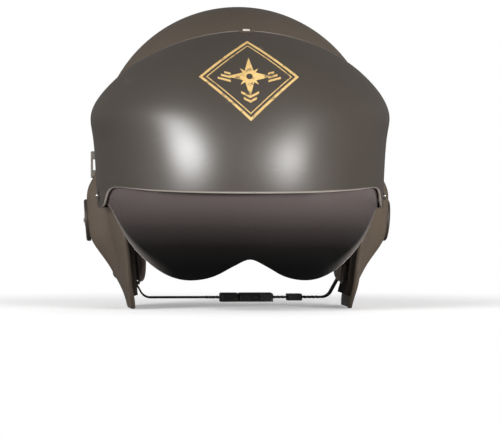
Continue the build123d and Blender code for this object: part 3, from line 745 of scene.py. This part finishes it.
def make_smoke_lens():
    """Smoked polycarbonate, paler at its brow and nearly black at its lower edge; the paler brow is painted
    reflection of the bright surroundings, and the sides carry a painted sheen and a painted highlight along
    the lower rim.
    """
    f = Finish("smoke_lens")
    _x, _y, up = f.axes()
    cloud = f.noise(9.0)
    level = (up - 0.034) / 0.064 + (cloud - 0.5) * 0.05
    # Painted reflection: the smoke ramp grows paler towards the brow, for the bright surroundings mirrored
    # in it.
    smoke = f.node("ValToRGB", {"stops": (
        (0.00, (3, 3, 3)), (0.22, (14, 13, 12)), (0.45, (42, 38, 37)), (0.70, (68, 61, 60)),
        (1.00, (84, 76, 75)),
    )}, {0: level})
    across, over, _ = f.axes("UVMap")
    aside = abs(across - 0.5)
    at_side = aside.between(0.16, 0.30) * (1 - aside.between(0.42, 0.47))
    # Painted reflection: a pale sheen over the lens's sides near its lower edge.
    painted_side_sheen = (1 - over.between(0.02, 0.16)) * at_side
    # Painted highlight: a near-white line along the lens's lower edge at its sides, for the light caught by
    # its thickness.
    rim = (1 - over.between(0.008, 0.016)) * at_side
    tint = f.mix(painted_side_sheen * 0.55, smoke.outputs[0], (128, 122, 119))
    tint = f.mix(rim * 0.95, tint, (240, 234, 228))
    specks = f.cells(420.0)
    scuffs = f.noise(90.0, 5.0, 0.7, f.stretched(1.0, 1.0, 0.4)).between(0.62, 0.74)
    roughness = 0.16 + scuffs * 0.06 + (cloud - 0.5) * 0.04
    return f.done(
        Base_Color=tint, Roughness=roughness, Alpha=0.955 + (specks - 0.5) * 0.01,
        Normal=f.bump(f.noise(18.0, 1.0), 0.0003, 0.10), IOR=1.30,
    )


def make_liner_foam():
    """Moulded bead foam: round grains pressed flat against each other."""
    f = Finish("liner_foam")
    grains = f.cells(260.0)
    edges = f.cells(260.0, feature="DISTANCE_TO_EDGE")
    tint = f.mix(grains, (74, 72, 69), (52, 50, 48))
    # Painted shade: the grooves between the beads are darkened as well as bumped.
    tint = f.mix(1 - edges.between(0.0, 0.10), tint, (33, 32, 31))
    normal = f.bump(edges.between(0.0, 0.25), 0.0006, 0.7)
    return f.done(Base_Color=tint, Roughness=0.78 + grains * 0.1, Normal=normal)


def make_pad_cloth(name, base, light):
    """Soft grained pad cover: small creased cells over a fine nap."""
    f = Finish(name)
    cells = f.cells(520.0, feature="DISTANCE_TO_EDGE")
    creases = cells.between(0.0, 0.16)
    nap = f.noise(2400.0, 3.0)
    cloud = f.noise(38.0, 4.0)
    tint = f.mix(cloud, base, light)
    # Painted shade: the creases between the grain cells are darkened as well as bumped.
    tint = f.mix((1 - creases) * 0.45, tint, (38, 30, 25))
    tint = f.mix((nap - 0.5) * 0.5 + 0.25, tint, light)
    normal = f.bump(creases, 0.00022, 0.55)
    normal = f.bump(nap, 0.00008, 0.5, normal)
    return f.done(
        Base_Color=tint, Roughness=0.68 + (cloud - 0.5) * 0.16, Normal=normal,
        Sheen_Weight=0.25, Sheen_Roughness=0.5,
    )


def make_lining_foam():
    """Closed-cell foam sheet: open pores over a dark brown-black sheet."""
    f = Finish("lining_foam")
    pores = f.cells(900.0)
    cloud = f.noise(50.0, 4.0)
    tint = f.mix(cloud, (42, 35, 29), (60, 51, 43))
    # Painted shade: the pores are darkened, for the shade inside them.
    tint = f.mix((1 - pores.between(0.1, 0.45)) * 0.6, tint, (22, 18, 15))
    normal = f.bump(pores, 0.00025, 0.6)
    return f.done(Base_Color=tint, Roughness=0.85 + (cloud - 0.5) * 0.1, Normal=normal)


def make_webbing():
    """Black woven webbing. The strap's own map runs in metres, along it and across it."""
    f = Finish("strap_webbing")
    along, aside, _ = f.axes("UVMap")
    half_width, pitch, thread_pitch, selvedge = 0.0075, 0.0011, 0.0013, 0.0062
    rib = abs((along / pitch).math("FRACT") - 0.5) * 2
    twill = (along / (pitch * 2) + abs(aside - half_width) / thread_pitch).math("FRACT") - 0.5
    weave = rib * 0.5 + abs(twill)
    edge = 1 - (abs(aside - half_width) - selvedge).between(0.0, 0.0004)
    fuzz = f.noise(1800.0, 3.0)
    tint = f.mix(weave, (30, 27, 24), (60, 56, 51))
    tint = f.mix(fuzz * 0.3, tint, (74, 69, 63))
    normal = f.bump(weave * (0.6 + edge * 0.4), 0.00030, 0.9)
    normal = f.bump(fuzz, 0.00008, 0.5, normal)
    return f.done(Base_Color=tint, Roughness=0.72 + (fuzz - 0.5) * 0.2, Normal=normal, Sheen_Weight=0.2)


def hard_finish(name, base, light, rough, metal=0.0, grain=600.0, scratch=0.12):
    """Small hard part: a mottled colour, a fine grain and thin scratches along it."""
    f, depth = Finish(name), 0.00002
    cloud = f.noise(120.0, 4.0)
    fine = f.noise(grain, 3.0)
    lines = f.noise(500.0, 4.0, 0.7, f.stretched(0.25, 1.0, 1.0)).between(0.60, 0.70)
    tint = f.mix(cloud, base, light)
    tint = f.mix(lines * scratch, tint, tuple(min(255, value + 60) for value in light))
    normal = f.bump(fine, depth, 0.6)
    normal = f.bump(lines, depth, 0.4, normal)
    roughness = rough + (cloud - 0.5) * 0.12 + lines * 0.08
    return f.done(Base_Color=tint, Roughness=roughness, Metallic=metal, Normal=normal)


shell_plastic = make_shell_plastic()
housing_plastic = make_housing_plastic()
smoke_lens = make_smoke_lens()
liner_foam = make_liner_foam()
pad_cloth = make_pad_cloth("pad_cloth", (66, 53, 45), (92, 76, 65))
pad_piping = make_pad_cloth("pad_piping", (44, 36, 31), (60, 50, 43))
lining_foam = make_lining_foam()
strap_webbing = make_webbing()
strap_thread = hard_finish("strap_thread", (58, 53, 47), (84, 78, 70), 0.62, grain=2200.0, scratch=0.3)
buckle_plastic = hard_finish("buckle_plastic", (24, 23, 22), (36, 34, 33), 0.42)
disc_plastic = hard_finish("disc_plastic", (44, 37, 32), (60, 52, 46), 0.45)
disc_centre = hard_finish("disc_centre", (128, 122, 113), (150, 144, 134), 0.38)
screw_steel = hard_finish("screw_steel", (196, 190, 180), (222, 217, 208), 0.24, metal=1.0)
bracket_grey = hard_finish("bracket_grey", (103, 99, 91), (116, 111, 102), 0.48)
clip_plastic = make_clip_plastic()
spacer_nylon = hard_finish("spacer_nylon", (188, 182, 168), (204, 199, 186), 0.50)


# Shell, housing and visor

def crowded(t, share):
    """Even steps from 0 to 1, drawn closer together towards both ends."""
    return t - share * math.sin(2 * math.pi * t)


def rise(value, low, high):
    """0 below low, 1 above high, with a smooth rise between."""
    t = min(1.0, max(0.0, (value - low) / (high - low)))
    return t * t * (3 - 2 * t)


shell_grid, shell_crowding_share = (168, 92), 0.12
flap_top, flap_top_blend = 100.0, 14.0
roll_reach_share, roll_depth, roll_thickening = 0.018, 0.8, 0.7
housing_rows, lip_rows, housing_columns = 56, 6, 132
lens_grid = (150, 44)
no_badge = (9.0, 9.0)


def make_shell():
    """Dome and flaps in one skin; the flaps' front edges are thicker, with a rolled corner."""
    patch = shell_patch(brow_edge_shares, nape_edge_shares)

    def skin(deep):
        def point(u, t):
            v = crowded(t, shell_crowding_share)
            place = patch(u, v)
            on_flap = 1 - rise(shell_point(*place)[2], flap_top, flap_top + flap_top_blend)
            near_edge = 1 - rise(v, 0.0, roll_reach_share)
            if deep:
                return below(shell_point, place, shell_wall + on_flap * near_edge * roll_thickening)
            return below(shell_point, place, on_flap * near_edge ** 2 * roll_depth)
        return point

    return thick_sheet(
        "outer_shell_skin", skin(False), skin(True), shell_grid, shell_plastic, rim=0.9, cut_flat=True,
    )


badge_rise, badge_half_width, badge_half_height = math.radians(34.4), 42.0, 46.5


def make_housing():
    """Visor housing with a lip along its rear edge that reaches in to the dome."""
    patch = patch_between(path(both_sides(housing_front_shares)), path(both_sides(housing_rear_shares)))
    whole = housing_rows + lip_rows
    lip_start = housing_rows / whole

    def with_lip(point, u, t, thinner):
        """A point at the rear edge, moved in towards the dome as far as t is over the lip."""
        if t <= lip_start:
            return point
        place, share = patch(u, 1), (t - lip_start) / (1 - lip_start)
        reach = max(lip_depth(place) - thinner, 0.0)
        return point - outward(housing_point, place) * reach * share

    def outer(u, t):
        return with_lip(Vector(housing_point(*patch(u, min(1.0, t / lip_start)))), u, t, 0.0)

    def inner(u, t):
        v = min(1.0, t / lip_start)
        length = (Vector(housing_point(*patch(u, 1))) - Vector(housing_point(*patch(u, 0)))).length
        point = below(housing_point, patch(u, v * (1 - housing_wall / length)), housing_wall)
        return with_lip(point, u, t, housing_wall)

    def badge_chart(u, t, side):
        if side or t > lip_start:
            return no_badge
        x, _y, z = housing_point(*patch(u, t / lip_start))
        rise_angle = math.asin((z - housing_centre_height) / housing_radius)
        return x / badge_half_width, housing_radius * (rise_angle - badge_rise) / badge_half_height

    return thick_sheet(
        "visor_housing_skin", outer, inner, (housing_columns, whole), housing_plastic, rim=1.0,
        chart_of=badge_chart, edge_share=lip_start,
    )


def make_lens():
    """Visor with its nose notch and an arm to each pivot."""
    def angles(side, up):
        """Angles aside and up, of a place given by its sines."""
        reach = math.hypot(side, up)
        turn = math.asin(reach) / reach if reach > 0 else 1.0
        return side * turn, up * turn

    arm = [(share * math.pi / 2, half) for share, half in arm_shares]
    under = [angles(*point) for point in lens_lower_shares] + [(s, -h) for s, h in arm]
    over = [angles(*point) for point in lens_upper_shares] + arm
    patch = patch_between(path(both_sides(under)), path(both_sides(over)))

    def skin(depth):
        return lambda u, v: below(lens_point, patch(u, v), depth)

    return thick_sheet("visor_lens_skin", skin(0.0), skin(lens_wall), lens_grid, smoke_lens, rim=0.6)


keep(make_shell(), "helmet", "outer_shell", slot="shell_plastic")
keep(make_housing(), "helmet", "visor_housing", slot="housing_plastic")
keep(make_lens(), "visor", "visor_lens", slot="smoke_lens")


# Hard parts

disc_turn_share, disc_centre_height, disc_radius, disc_height = 0.523, 70.0, 17.0, 2.6
disc_sink, disc_chamfer, disc_groove_depth = 1.2, 0.9, 0.8
cap_radius, cap_rise, disc_bore = 5.0, 0.5, 1.4
rivet_head_height, rivet_shank, disc_rivet_head, disc_rivet_length = 1.3, 2.6, 5.0, 4.6
strap_rivet_turn_share, strap_rivet_height = 0.572, 25.0
strap_rivet_head, strap_rivet_length = 6.0, 14.8
disc_seat = seat_on(disc_turn_share, disc_centre_height)
rivet_seat = seat_on(strap_rivet_turn_share, strap_rivet_height)

groove_outside, groove_inside = disc_radius - 3.1, disc_radius - 5.4
disc_profile = rounded([
    (disc_bore, -disc_sink), (disc_radius, -disc_sink), (disc_radius, disc_height - disc_chamfer),
    (disc_radius - 1.0, disc_height), (groove_outside, disc_height),
    (groove_outside - 0.4, disc_height - disc_groove_depth),
    (groove_inside + 0.4, disc_height - disc_groove_depth), (groove_inside, disc_height),
    (cap_radius + 0.4, disc_height - 0.3), (disc_bore, disc_height - 0.3),
], 0.35)
cap_profile = rounded([
    (disc_bore, disc_height - 0.6), (cap_radius, disc_height - 0.6), (cap_radius, disc_height + 0.2),
    (cap_radius - 0.7, disc_height + cap_rise), (disc_bore, disc_height + cap_rise),
], 0.25)


def rivet_profile(head, height, foot, shank, length):
    """Round-headed rivet that sits at a height over its seat."""
    return [(0, foot + height)] + [
        (head / 2 * math.sin(step * math.pi / 16), foot + height * math.cos(step * math.pi / 16))
        for step in range(1, 9)
    ] + [(head / 2 - 0.1, foot), (shank / 2, foot), (shank / 2, foot - length), (0, foot - length)]


def both_turned(name, profile, seat_matrix, finish, *nodes, slot=None, sides=48):
    """The same turned piece on both sides of the helmet."""
    right = turned(name + "_right", profile, seat_matrix, finish, sides)
    for piece, side in ((right, "_right"), (mirrored(right, name + "_left"), "_left")):
        keep(piece, "helmet", *[node + side for node in nodes], slot=slot)


both_turned(
    "ear_disc_dish", disc_profile, disc_seat, disc_plastic, "ear_disc", slot="disc_plastic", sides=72,
)
both_turned("ear_disc_cap", cap_profile, disc_seat, disc_centre)
for name, node, seat_matrix, head, height, length in (
    ("ear_disc_stud", "ear_disc_rivet", disc_seat, disc_rivet_head, disc_height, disc_rivet_length),
    ("strap_stud", "strap_rivet", rivet_seat, strap_rivet_head, 0.0, strap_rivet_length),
):
    profile = rivet_profile(head, rivet_head_height, height, rivet_shank, length)
    both_turned(name, profile, seat_matrix, screw_steel, node, slot="screw_steel", sides=32)

for name, finish in (
    ("strap_rivet_burr", screw_steel), ("pivot_screw", screw_steel), ("pivot_nut", screw_steel),
    ("pivot_washer", spacer_nylon), ("pivot_spacer", spacer_nylon), ("side_bracket", bracket_grey),
):
    for side in ("_right", "_left"):
        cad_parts[name + side].data.materials[0] = finish
for name, finish in (
    ("bracket_screws", screw_steel), ("crown_clip", clip_plastic), ("buckle_socket", buckle_plastic),
    ("buckle_plug", buckle_plastic), ("strap_slider", buckle_plastic),
):
    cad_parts[name].data.materials[0] = finish


# Foam and pads

lining_near = shell_wall + soft_gap
pad_near = lining_near + lining_thickness + soft_gap
inner_near = shell_wall + soft_gap + liner_thickness + soft_gap
pad_grid, pad_voxel, piping_radius, corner_fullness, border_points = (44, 36), 3.0, 0.9, 7.0, 160
swell_pressure, swell_frames, cloth_stiffness = 4.0, 20, 12.0


def dome_shape(u, v):
    """0 at the edges of a patch, 1 at its middle."""
    return math.sqrt(max(0.0, math.sin(math.pi * u) * math.sin(math.pi * v)))


def inset(patch, share):
    """A patch drawn in from its edges by a share of its size."""
    return lambda u, v: patch(share + (1 - 2 * share) * u, share + (1 - 2 * share) * v)


def plump(piece, voxel, cap):
    """Let a closed form swell like stuffed cloth, no point further than a cap in millimetres."""
    remesh = piece.modifiers.new("even", "REMESH")
    remesh.mode, remesh.voxel_size = "VOXEL", voxel * mm
    settle(piece)
    start = [spot.co.copy() for spot in piece.data.vertices]
    cloth = piece.modifiers.new("cloth", "CLOTH")
    wear = cloth.settings
    wear.use_pressure, wear.uniform_pressure_force = True, swell_pressure
    wear.effector_weights.gravity = 0.0
    wear.tension_stiffness = wear.compression_stiffness = cloth_stiffness
    cloth.point_cache.frame_start, cloth.point_cache.frame_end = 1, swell_frames
    scene = bpy.context.scene
    for moment in range(1, swell_frames + 1):
        scene.frame_set(moment)
    settle(piece)
    for spot, before in zip(piece.data.vertices, start):
        way = spot.co - before
        if way.length > cap * mm:
            spot.co = before + way.normalized() * cap * mm
    scene.frame_set(1)
    return smooth_over(piece)


def smooth_over(piece):
    subdivision = piece.modifiers.new("round", "SUBSURF")
    subdivision.levels = subdivision.render_levels = 1
    return settle(piece, 180.0)


def bead_along(name, points, radius, finish):
    """Closed round bead along points in millimetres."""
    data = bpy.data.curves.new(name, "CURVE")
    data.dimensions, data.bevel_depth, data.bevel_resolution = "3D", radius * mm, 2
    line = data.splines.new("POLY")
    line.points.add(len(points) - 1)
    for spot, point in zip(line.points, points):
        spot.co = (*(Vector(point) * mm), 1.0)
    line.use_cyclic_u = True
    curve = new_piece(name, data)
    mesh = bpy.data.meshes.new_from_object(curve.evaluated_get(bpy.context.evaluated_depsgraph_get()))
    bpy.data.objects.remove(curve)
    mesh.name = name
    mesh.materials.clear()
    mesh.shade_smooth()
    return new_piece(name, mesh, finish)


def border(surface, patch, depth):
    """Points round a patch with rounded corners, at a depth under a surface."""
    points = []
    power = 2 / corner_fullness
    for k in range(border_points):
        turn = 2 * math.pi * k / border_points
        c, s = math.cos(turn), math.sin(turn)
        u = 0.5 + 0.5 * math.copysign(abs(c) ** power, c)
        v = 0.5 + 0.5 * math.copysign(abs(s) ** power, s)
        points.append(below(surface, patch(u, v), depth))
    return points


def round_patch(patch):
    """A square patch with its corners rounded, as a patch."""
    power = corner_fullness

    def at(u, v):
        a, b = 2 * u - 1, 2 * v - 1
        reach = max(abs(a), abs(b))
        if reach == 0:
            return patch(0.5, 0.5)
        norm = (abs(a / reach) ** power + abs(b / reach) ** power) ** (1 / power)
        return patch(0.5 + 0.5 * a / norm, 0.5 + 0.5 * b / norm)

    return at


def make_pad(name, patch, near, edge, crown, cap, near_surface=plain_shell_point):
    """Stuffed pad with a piped seam round its middle, and the piping."""
    patch = round_patch(patch)
    inner_patch = inset(patch, 0.012)

    def back(u, v):
        return below(near_surface, inner_patch(u, v), near + cap * 0.9)

    def face(u, v):
        depth = near + edge + (crown - edge) * dome_shape(u, v) - cap * 0.4
        return below(plain_shell_point, inner_patch(u, v), depth)

    pad = thick_sheet(name, back, face, pad_grid, pad_cloth, rim=0)
    plump(pad, pad_voxel, cap)
    sides = [border(surface, patch, near + edge * 0.5) for surface in (near_surface, plain_shell_point)]
    seam = [(a + b) / 2 for a, b in zip(*sides)]
    return pad, bead_along(name + "_piping", seam, piping_radius, pad_piping)


def keep_pad(pad, piping, node):
    """Say what a pad stands for and what it rides on, its piping with it."""
    keep(pad, "helmet", node, slot="pad_cloth")
    keep(piping, "helmet", slot="pad_cloth")


def both_pads(name, node, *rest, **more):
    pad, piping = make_pad(name + "_right", *rest, **more)
    keep_pad(pad, piping, node + "_right")
    keep_pad(mirrored(pad, name + "_left"), mirrored(piping, name + "_left_piping"), node + "_left")


both_pads(
    "ear_cushion", "ear_pad", side_patch(ear_front_shares, ear_rear_shares), pad_near, ear_pad_edge,
    ear_pad_crown, 2.0, near_surface=shell_point,
)
both_pads(
    "temple_cushion", "temple_pad", band_patch(*temple_pad_turn_shares, *temple_pad_height_shares),
    inner_near, pad_edge, pad_crown, 1.6,
)
half = crown_pad_half_share
for name, node, patch in (
    ("crown_cushion", "crown_pad", lambda u, v: (half * (2 * u - 1), half * (2 * v - 1))),
    ("brow_cushion", "brow_pad",
     band_patch(-brow_pad_turn_share, brow_pad_turn_share, *brow_pad_height_shares)),
    ("nape_cushion", "nape_pad",
     band_patch(1 - nape_pad_turn_share, 1 + nape_pad_turn_share, *nape_pad_height_shares)),
):
    keep_pad(*make_pad(name, patch, inner_near, pad_edge, pad_crown, 1.6), node)


def make_foam_sheet(name, surface, patch, near, thickness, grid, finish, swell, rim):
    """Foam sheet with softly rounded edges that lies along the shell."""
    def near_face(u, v):
        return below(surface, patch(u, v), near)

    def far_face(u, v):
        return below(surface, patch(u, v), near + thickness - swell + swell * dome_shape(u, v))

    return thick_sheet(name, near_face, far_face, grid, finish, rim=rim, clamped=True)


liner = make_foam_sheet(
    "bead_foam_liner", plain_shell_point, shell_patch(liner_front_shares, liner_rear_shares),
    shell_wall + soft_gap, liner_thickness, (96, 60), liner_foam, swell=0.0, rim=2.2,
)
keep(liner, "helmet", "impact_liner", slot="liner_foam")

lining = make_foam_sheet(
    "flap_foam_right", shell_point, side_patch(lining_front_shares, lining_rear_shares),
    lining_near, lining_thickness, (60, 48), lining_foam, swell=0.6, rim=1.4,
)
for piece, side in ((lining, "_right"), (mirrored(lining, "flap_foam_left"), "_left")):
    keep(piece, "helmet", "flap_lining" + side, slot="lining_foam")


# Chin strap
strap_width, strap_thickness, strap_level, strap_bend = 15.0, 1.5, 6.5, 9.0
strap_clearance, strap_end_over_rivet, strap_hole_radius = 1.2, 7.0, 2.3
right_end, left_end = 26.0, 9.0
stitch_pitch, stitch_length, thread_thickness, stitch_edge, thread_lift = 2.6, 1.9, 0.45, 2.2, 0.05
strap_place = chart(strap_rivet_turn_share, strap_rivet_height / equator_height)
strap_hole = below(shell_point, strap_place, pad_near + strap_thickness / 2 + strap_clearance)
strap_normal = outward(shell_point, strap_place)


def strap_course(end):
    """Length of a strap half, and a function from a length to its place and direction, as x and z."""
    hole, run = Vector((strap_hole.x, strap_hole.z)), Vector((strap_normal.z, -strap_normal.x)).normalized()
    top = hole - run * strap_end_over_rivet
    turn = hole + run * ((hole.y - strap_level) / -run.y)
    level = Vector((-1.0, 0.0))
    bend = run.angle(level)
    reach = strap_bend * math.tan(bend / 2)
    first, arc = (turn - top).length - reach, strap_bend * bend
    whole = first + arc + (turn.x - reach - end)

    def at(length):
        if length <= first:
            return top + run * length, run
        swing = min(length - first, arc) / strap_bend
        inward = Vector((run.y, -run.x))
        centre = top + run * first + inward * strap_bend
        heading = run * math.cos(swing) + inward * math.sin(swing)
        place = centre - (inward * math.cos(swing) - run * math.sin(swing)) * strap_bend
        return place + level * max(0.0, length - first - arc), heading

    return whole, at


def make_strap(name, end):
    """Right hand webbing band, with an eyelet hole for its rivet. Its map runs in metres."""
    whole, at = strap_course(end)

    def face(side):
        def point(u, v):
            place, heading = at(u * whole)
            aside = Vector((heading.y, -heading.x))
            spot = place + aside * side * strap_thickness / 2
            return Vector((spot.x, strap_hole.y + (v - 0.5) * strap_width, spot.y))
        return point

    band = thick_sheet(
        name, face(-1), face(1), (120, 8), strap_webbing, rim=0.5,
        chart_of=lambda u, v, side: (u * whole * mm, v * strap_width * mm),
    )
    drill = turned("drill", [(0, -20), (strap_hole_radius, -20), (strap_hole_radius, 20), (0, 20)],
                   Matrix.Translation(strap_hole * mm) @ Matrix.Rotation(math.pi / 2, 4, "Y"), None)
    cut = band.modifiers.new("hole", "BOOLEAN")
    cut.operation, cut.object, cut.solver = "DIFFERENCE", drill, "EXACT"
    settle(band)
    bpy.data.objects.remove(drill)
    return band


def make_stitch_tree():
    """Geometry nodes that set a thread stitch at every step along the edges of a mesh."""
    tree = bpy.data.node_groups.new("stitch_rows", "GeometryNodeTree")
    sockets = tree.interface
    sockets.new_socket("Rows", in_out="INPUT", socket_type="NodeSocketGeometry")
    for name, kind in (
        ("Pitch", "Float"), ("Length", "Float"), ("Thickness", "Float"), ("Unevenness", "Float"),
        ("Seed", "Int"), ("Thread", "Material"),
    ):
        sockets.new_socket(name, in_out="INPUT", socket_type="NodeSocket" + kind)
    sockets.new_socket("Stitches", in_out="OUTPUT", socket_type="NodeSocketGeometry")

    def node(kind, links=(), **settings):
        """A node with its settings, then what each of its sockets is linked to or set at."""
        made = tree.nodes.new(kind)
        for key, value in settings.items():
            setattr(made, key, value)
        for socket, value in dict(links).items():
            if isinstance(value, bpy.types.NodeSocket):
                tree.links.new(value, made.inputs[socket])
            else:
                made.inputs[socket].default_value = value
        return made.outputs

    given = node("NodeGroupInput")
    rows = node("GeometryNodeMeshToCurve", {"Mesh": given["Rows"]})
    evened = node("GeometryNodeResampleCurve", {"Curve": rows[0], "Length": given["Pitch"]}, mode="LENGTH")
    bead = node("GeometryNodeMeshUVSphere", {"Segments": 8, "Rings": 6, "Radius": 0.5})
    size = node("ShaderNodeCombineXYZ", {0: given["Length"], 1: given["Thickness"], 2: given["Thickness"]})
    shaped = node("GeometryNodeTransform", {"Geometry": bead["Mesh"], "Scale": size[0]})
    along = node("GeometryNodeInputTangent")
    turned_to = node("FunctionNodeAlignRotationToVector", {"Vector": along[0]}, axis="X")
    least = node("ShaderNodeMath", {0: 1.0, 1: given["Unevenness"]}, operation="SUBTRACT")
    chance = node("FunctionNodeRandomValue", {2: least[0], "Seed": given["Seed"]}, data_type="FLOAT")
    spread = node("GeometryNodeInstanceOnPoints", {
        "Points": evened[0], "Instance": shaped[0], "Rotation": turned_to[0], "Scale": chance[1],
    })
    real = node("GeometryNodeRealizeInstances", {0: spread[0]})
    soft = node("GeometryNodeSetShadeSmooth", {"Geometry": real[0]})
    thread = node("GeometryNodeSetMaterial", {"Geometry": soft[0], "Material": given["Thread"]})
    node("NodeGroupOutput", {"Stitches": thread[0]})
    return tree


stitch_tree = make_stitch_tree()


def stitches(name, rows):
    """Rows of stitches along lists of points in millimetres."""
    mesh = bpy.data.meshes.new(name + "_rows")
    points = [Vector(point) * mm for row in rows for point in row]
    edges, start = [], 0
    for row in rows:
        edges += [(start + k, start + k + 1) for k in range(len(row) - 1)]
        start += len(row)
    mesh.from_pydata(points, edges, [])
    piece = new_piece(name, mesh)
    modifier = piece.modifiers.new("stitches", "NODES")
    modifier.node_group = stitch_tree
    wanted = {
        "Pitch": stitch_pitch * mm, "Length": stitch_length * mm, "Thickness": thread_thickness * mm,
        "Unevenness": 0.12, "Seed": 3, "Thread": strap_thread,
    }
    for item in stitch_tree.interface.items_tree:
        if item.in_out == "INPUT" and item.name in wanted:
            modifier[item.identifier] = wanted[item.name]
    return settle(piece, 180.0)


def strap_rows(course, start, end):
    """Stitch lines round a stretch of a strap half between two lengths, on both its faces."""
    rows = []
    half, steps = strap_width / 2 - stitch_edge, 12
    for side in (1, -1):
        def spot(length, across):
            place, heading = course(length)
            aside = Vector((heading.y, -heading.x))
            point = place + aside * side * (strap_thickness / 2 + thread_lift)
            return point.x, strap_hole.y + across, point.y
        for across in (-half, half):
            rows.append([spot(start + (end - start) * j / steps, across) for j in range(steps + 1)])
        for length in (start, end):
            rows.append([spot(length, -half), spot(length, half)])
    return rows


strap_right = make_strap("strap_band_right", right_end)
keep(strap_right, "chin_strap", "strap_right", slot="strap_webbing")

mould = make_strap("strap_mould", left_end)
strap_left = mirrored(mould, "strap_band_left")
bpy.data.objects.remove(mould)
keep(strap_left, None, "strap_left", slot="strap_webbing")
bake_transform(strap_left)

right_length, right_course = strap_course(right_end)
left_length, left_course = strap_course(left_end)
for name, course, start, end, body, flip in (
    ("top_right", right_course, 1.6, 14.0, "chin_strap", False),
    ("top_left", left_course, 1.6, 14.0, "chin_strap", True),
    ("socket", right_course, right_length - 12.5, right_length - 5.5, "chin_strap", False),
    ("slider", right_course, right_length - 41.0, right_length - 31.0, "chin_strap", False),
    ("plug", left_course, left_length - 15.0, left_length - 6.5, "buckle_plug", True),
):
    rows = strap_rows(course, start, end)
    if flip:
        rows = [[(-x, y, z) for x, y, z in row] for row in rows]
    keep(stitches("stitches_" + name, rows), body)


# Camera, light and floor

def stand_round(name, data, aim, turn, up, distance):
    """Camera or lamp aimed at a point. Turn 0 is in front of the helmet, plus is to the right."""
    turn, up = math.radians(turn), math.radians(up)
    back = Vector((math.sin(turn) * math.cos(up), -math.cos(turn) * math.cos(up), math.sin(up)))
    stood = new_piece(name, data)
    stood.location = aim + back * distance
    stood.rotation_mode = "QUATERNION"
    stood.rotation_quaternion = (-back).to_track_quat("-Z", "Y")
    return stood


def make_camera():
    """Level camera a little to one side of straight ahead, 1.8 m away."""
    data = bpy.data.cameras.new("camera")
    data.lens, data.sensor_width = 159.0, 36.0
    data.clip_start, data.clip_end = 0.05, 50.0
    aim = Vector((0.0102, 0.0007, 0.0696))
    bpy.context.scene.camera = stand_round("camera", data, aim, -4.0, 0.0, 1.8)


def soft_box(name, turn, up, distance, width, height, power, shows):
    """Oval lamp aimed at the helmet's middle, that may or may not show in its reflections."""
    data = bpy.data.lights.new(name, "AREA")
    data.shape, data.size, data.size_y, data.energy = "ELLIPSE", width, height, power
    lamp = stand_round(name, data, Vector((0.0, -0.02, 0.11)), turn, up, distance)
    lamp.visible_glossy = shows


def pale_to_rays(tree, lit, glossy, pale):
    """One shader for light, one for reflections and one for the camera's own rays."""
    def mixed(factor, first, second):
        made = tree.nodes.new("ShaderNodeMixShader")
        for socket, value in zip(made.inputs, (factor, first, second)):
            tree.links.new(value, socket)
        return made.outputs[0]

    rays = tree.nodes.new("ShaderNodeLightPath").outputs
    seen = tree.nodes.new("ShaderNodeMath")
    seen.operation = "MAXIMUM"
    tree.links.new(rays["Is Camera Ray"], seen.inputs[0])
    tree.links.new(rays["Is Transmission Ray"], seen.inputs[1])
    return mixed(seen.outputs[0], mixed(rays["Is Glossy Ray"], lit, glossy), pale)


def make_world():
    world = bpy.data.worlds.new("studio")
    bpy.context.scene.world = world
    world.use_nodes = True
    tree = world.node_tree
    tree.nodes.clear()
    parts = []
    for strength in (0.20, 0.18, 1.0):
        light = tree.nodes.new("ShaderNodeBackground")
        light.inputs["Color"].default_value = (1, 1, 1, 1)
        light.inputs["Strength"].default_value = strength
        parts.append(light.outputs[0])
    out = tree.nodes.new("ShaderNodeOutputWorld")
    tree.links.new(pale_to_rays(tree, *parts), out.inputs["Surface"])


floor_half, floor_gap, fade_from, fade_to = 12.0, 0.0004, 0.16, 0.42


def make_floor():
    """Plain pale floor that keeps the helmet's shadow."""
    half, level = floor_half, cad_low.z - floor_gap
    mesh = bpy.data.meshes.new("floor")
    corners = [(-half, -half, level), (half, -half, level), (half, half, level), (-half, half, level)]
    mesh.from_pydata(corners, [], [(0, 1, 2, 3)])
    floor = new_piece("floor", mesh)
    f = Finish("floor_pale")
    shaders = []
    for shade, glow in ((0.60, 0.0), (0.15, 0.0), (0.86, 0.30)):
        shaders.append(f.node("BsdfPrincipled", None, {
            "Base Color": (shade, shade, shade, 1.0), "Roughness": 0.9, "Specular IOR Level": 0.1,
            "Emission Color": (1, 1, 1, 1), "Emission Strength": glow,
        }).outputs[0])
    x, y, _z = f.axes()
    far = ((x * x + y * y) ** 0.5).between(fade_from, fade_to)
    white = f.node("Emission", None, {"Color": (1, 1, 1, 1), "Strength": 1.0})
    shaders[2] = f.node("MixShader", None, {0: far, 1: shaders[2], 2: white.outputs[0]}).outputs[0]
    f.node("OutputMaterial", None, {"Surface": pale_to_rays(f.tree, *shaders)})
    mesh.materials.append(f.material)


make_camera()
for name, turn, up, distance, width, height, power, shows in (
    ("key_box", -45.0, 16.0, 1.9, 1.05, 0.62, 33.0, True),
    ("fill_box", 30.0, 14.0, 2.2, 0.96, 0.66, 29.0, True),
    ("right_box", 64.0, -10.0, 1.6, 0.9, 1.0, 100.0, False),
    ("left_box", -78.0, -10.0, 1.6, 0.9, 1.0, 36.0, False),
    ("rim_box", 160.0, 26.0, 2.2, 1.2, 1.2, 10.0, False),
):
    soft_box(name, turn, up, distance, width, height, power, shows)
make_world()
make_floor()
bpy.context.scene.view_settings.view_transform = "Standard"
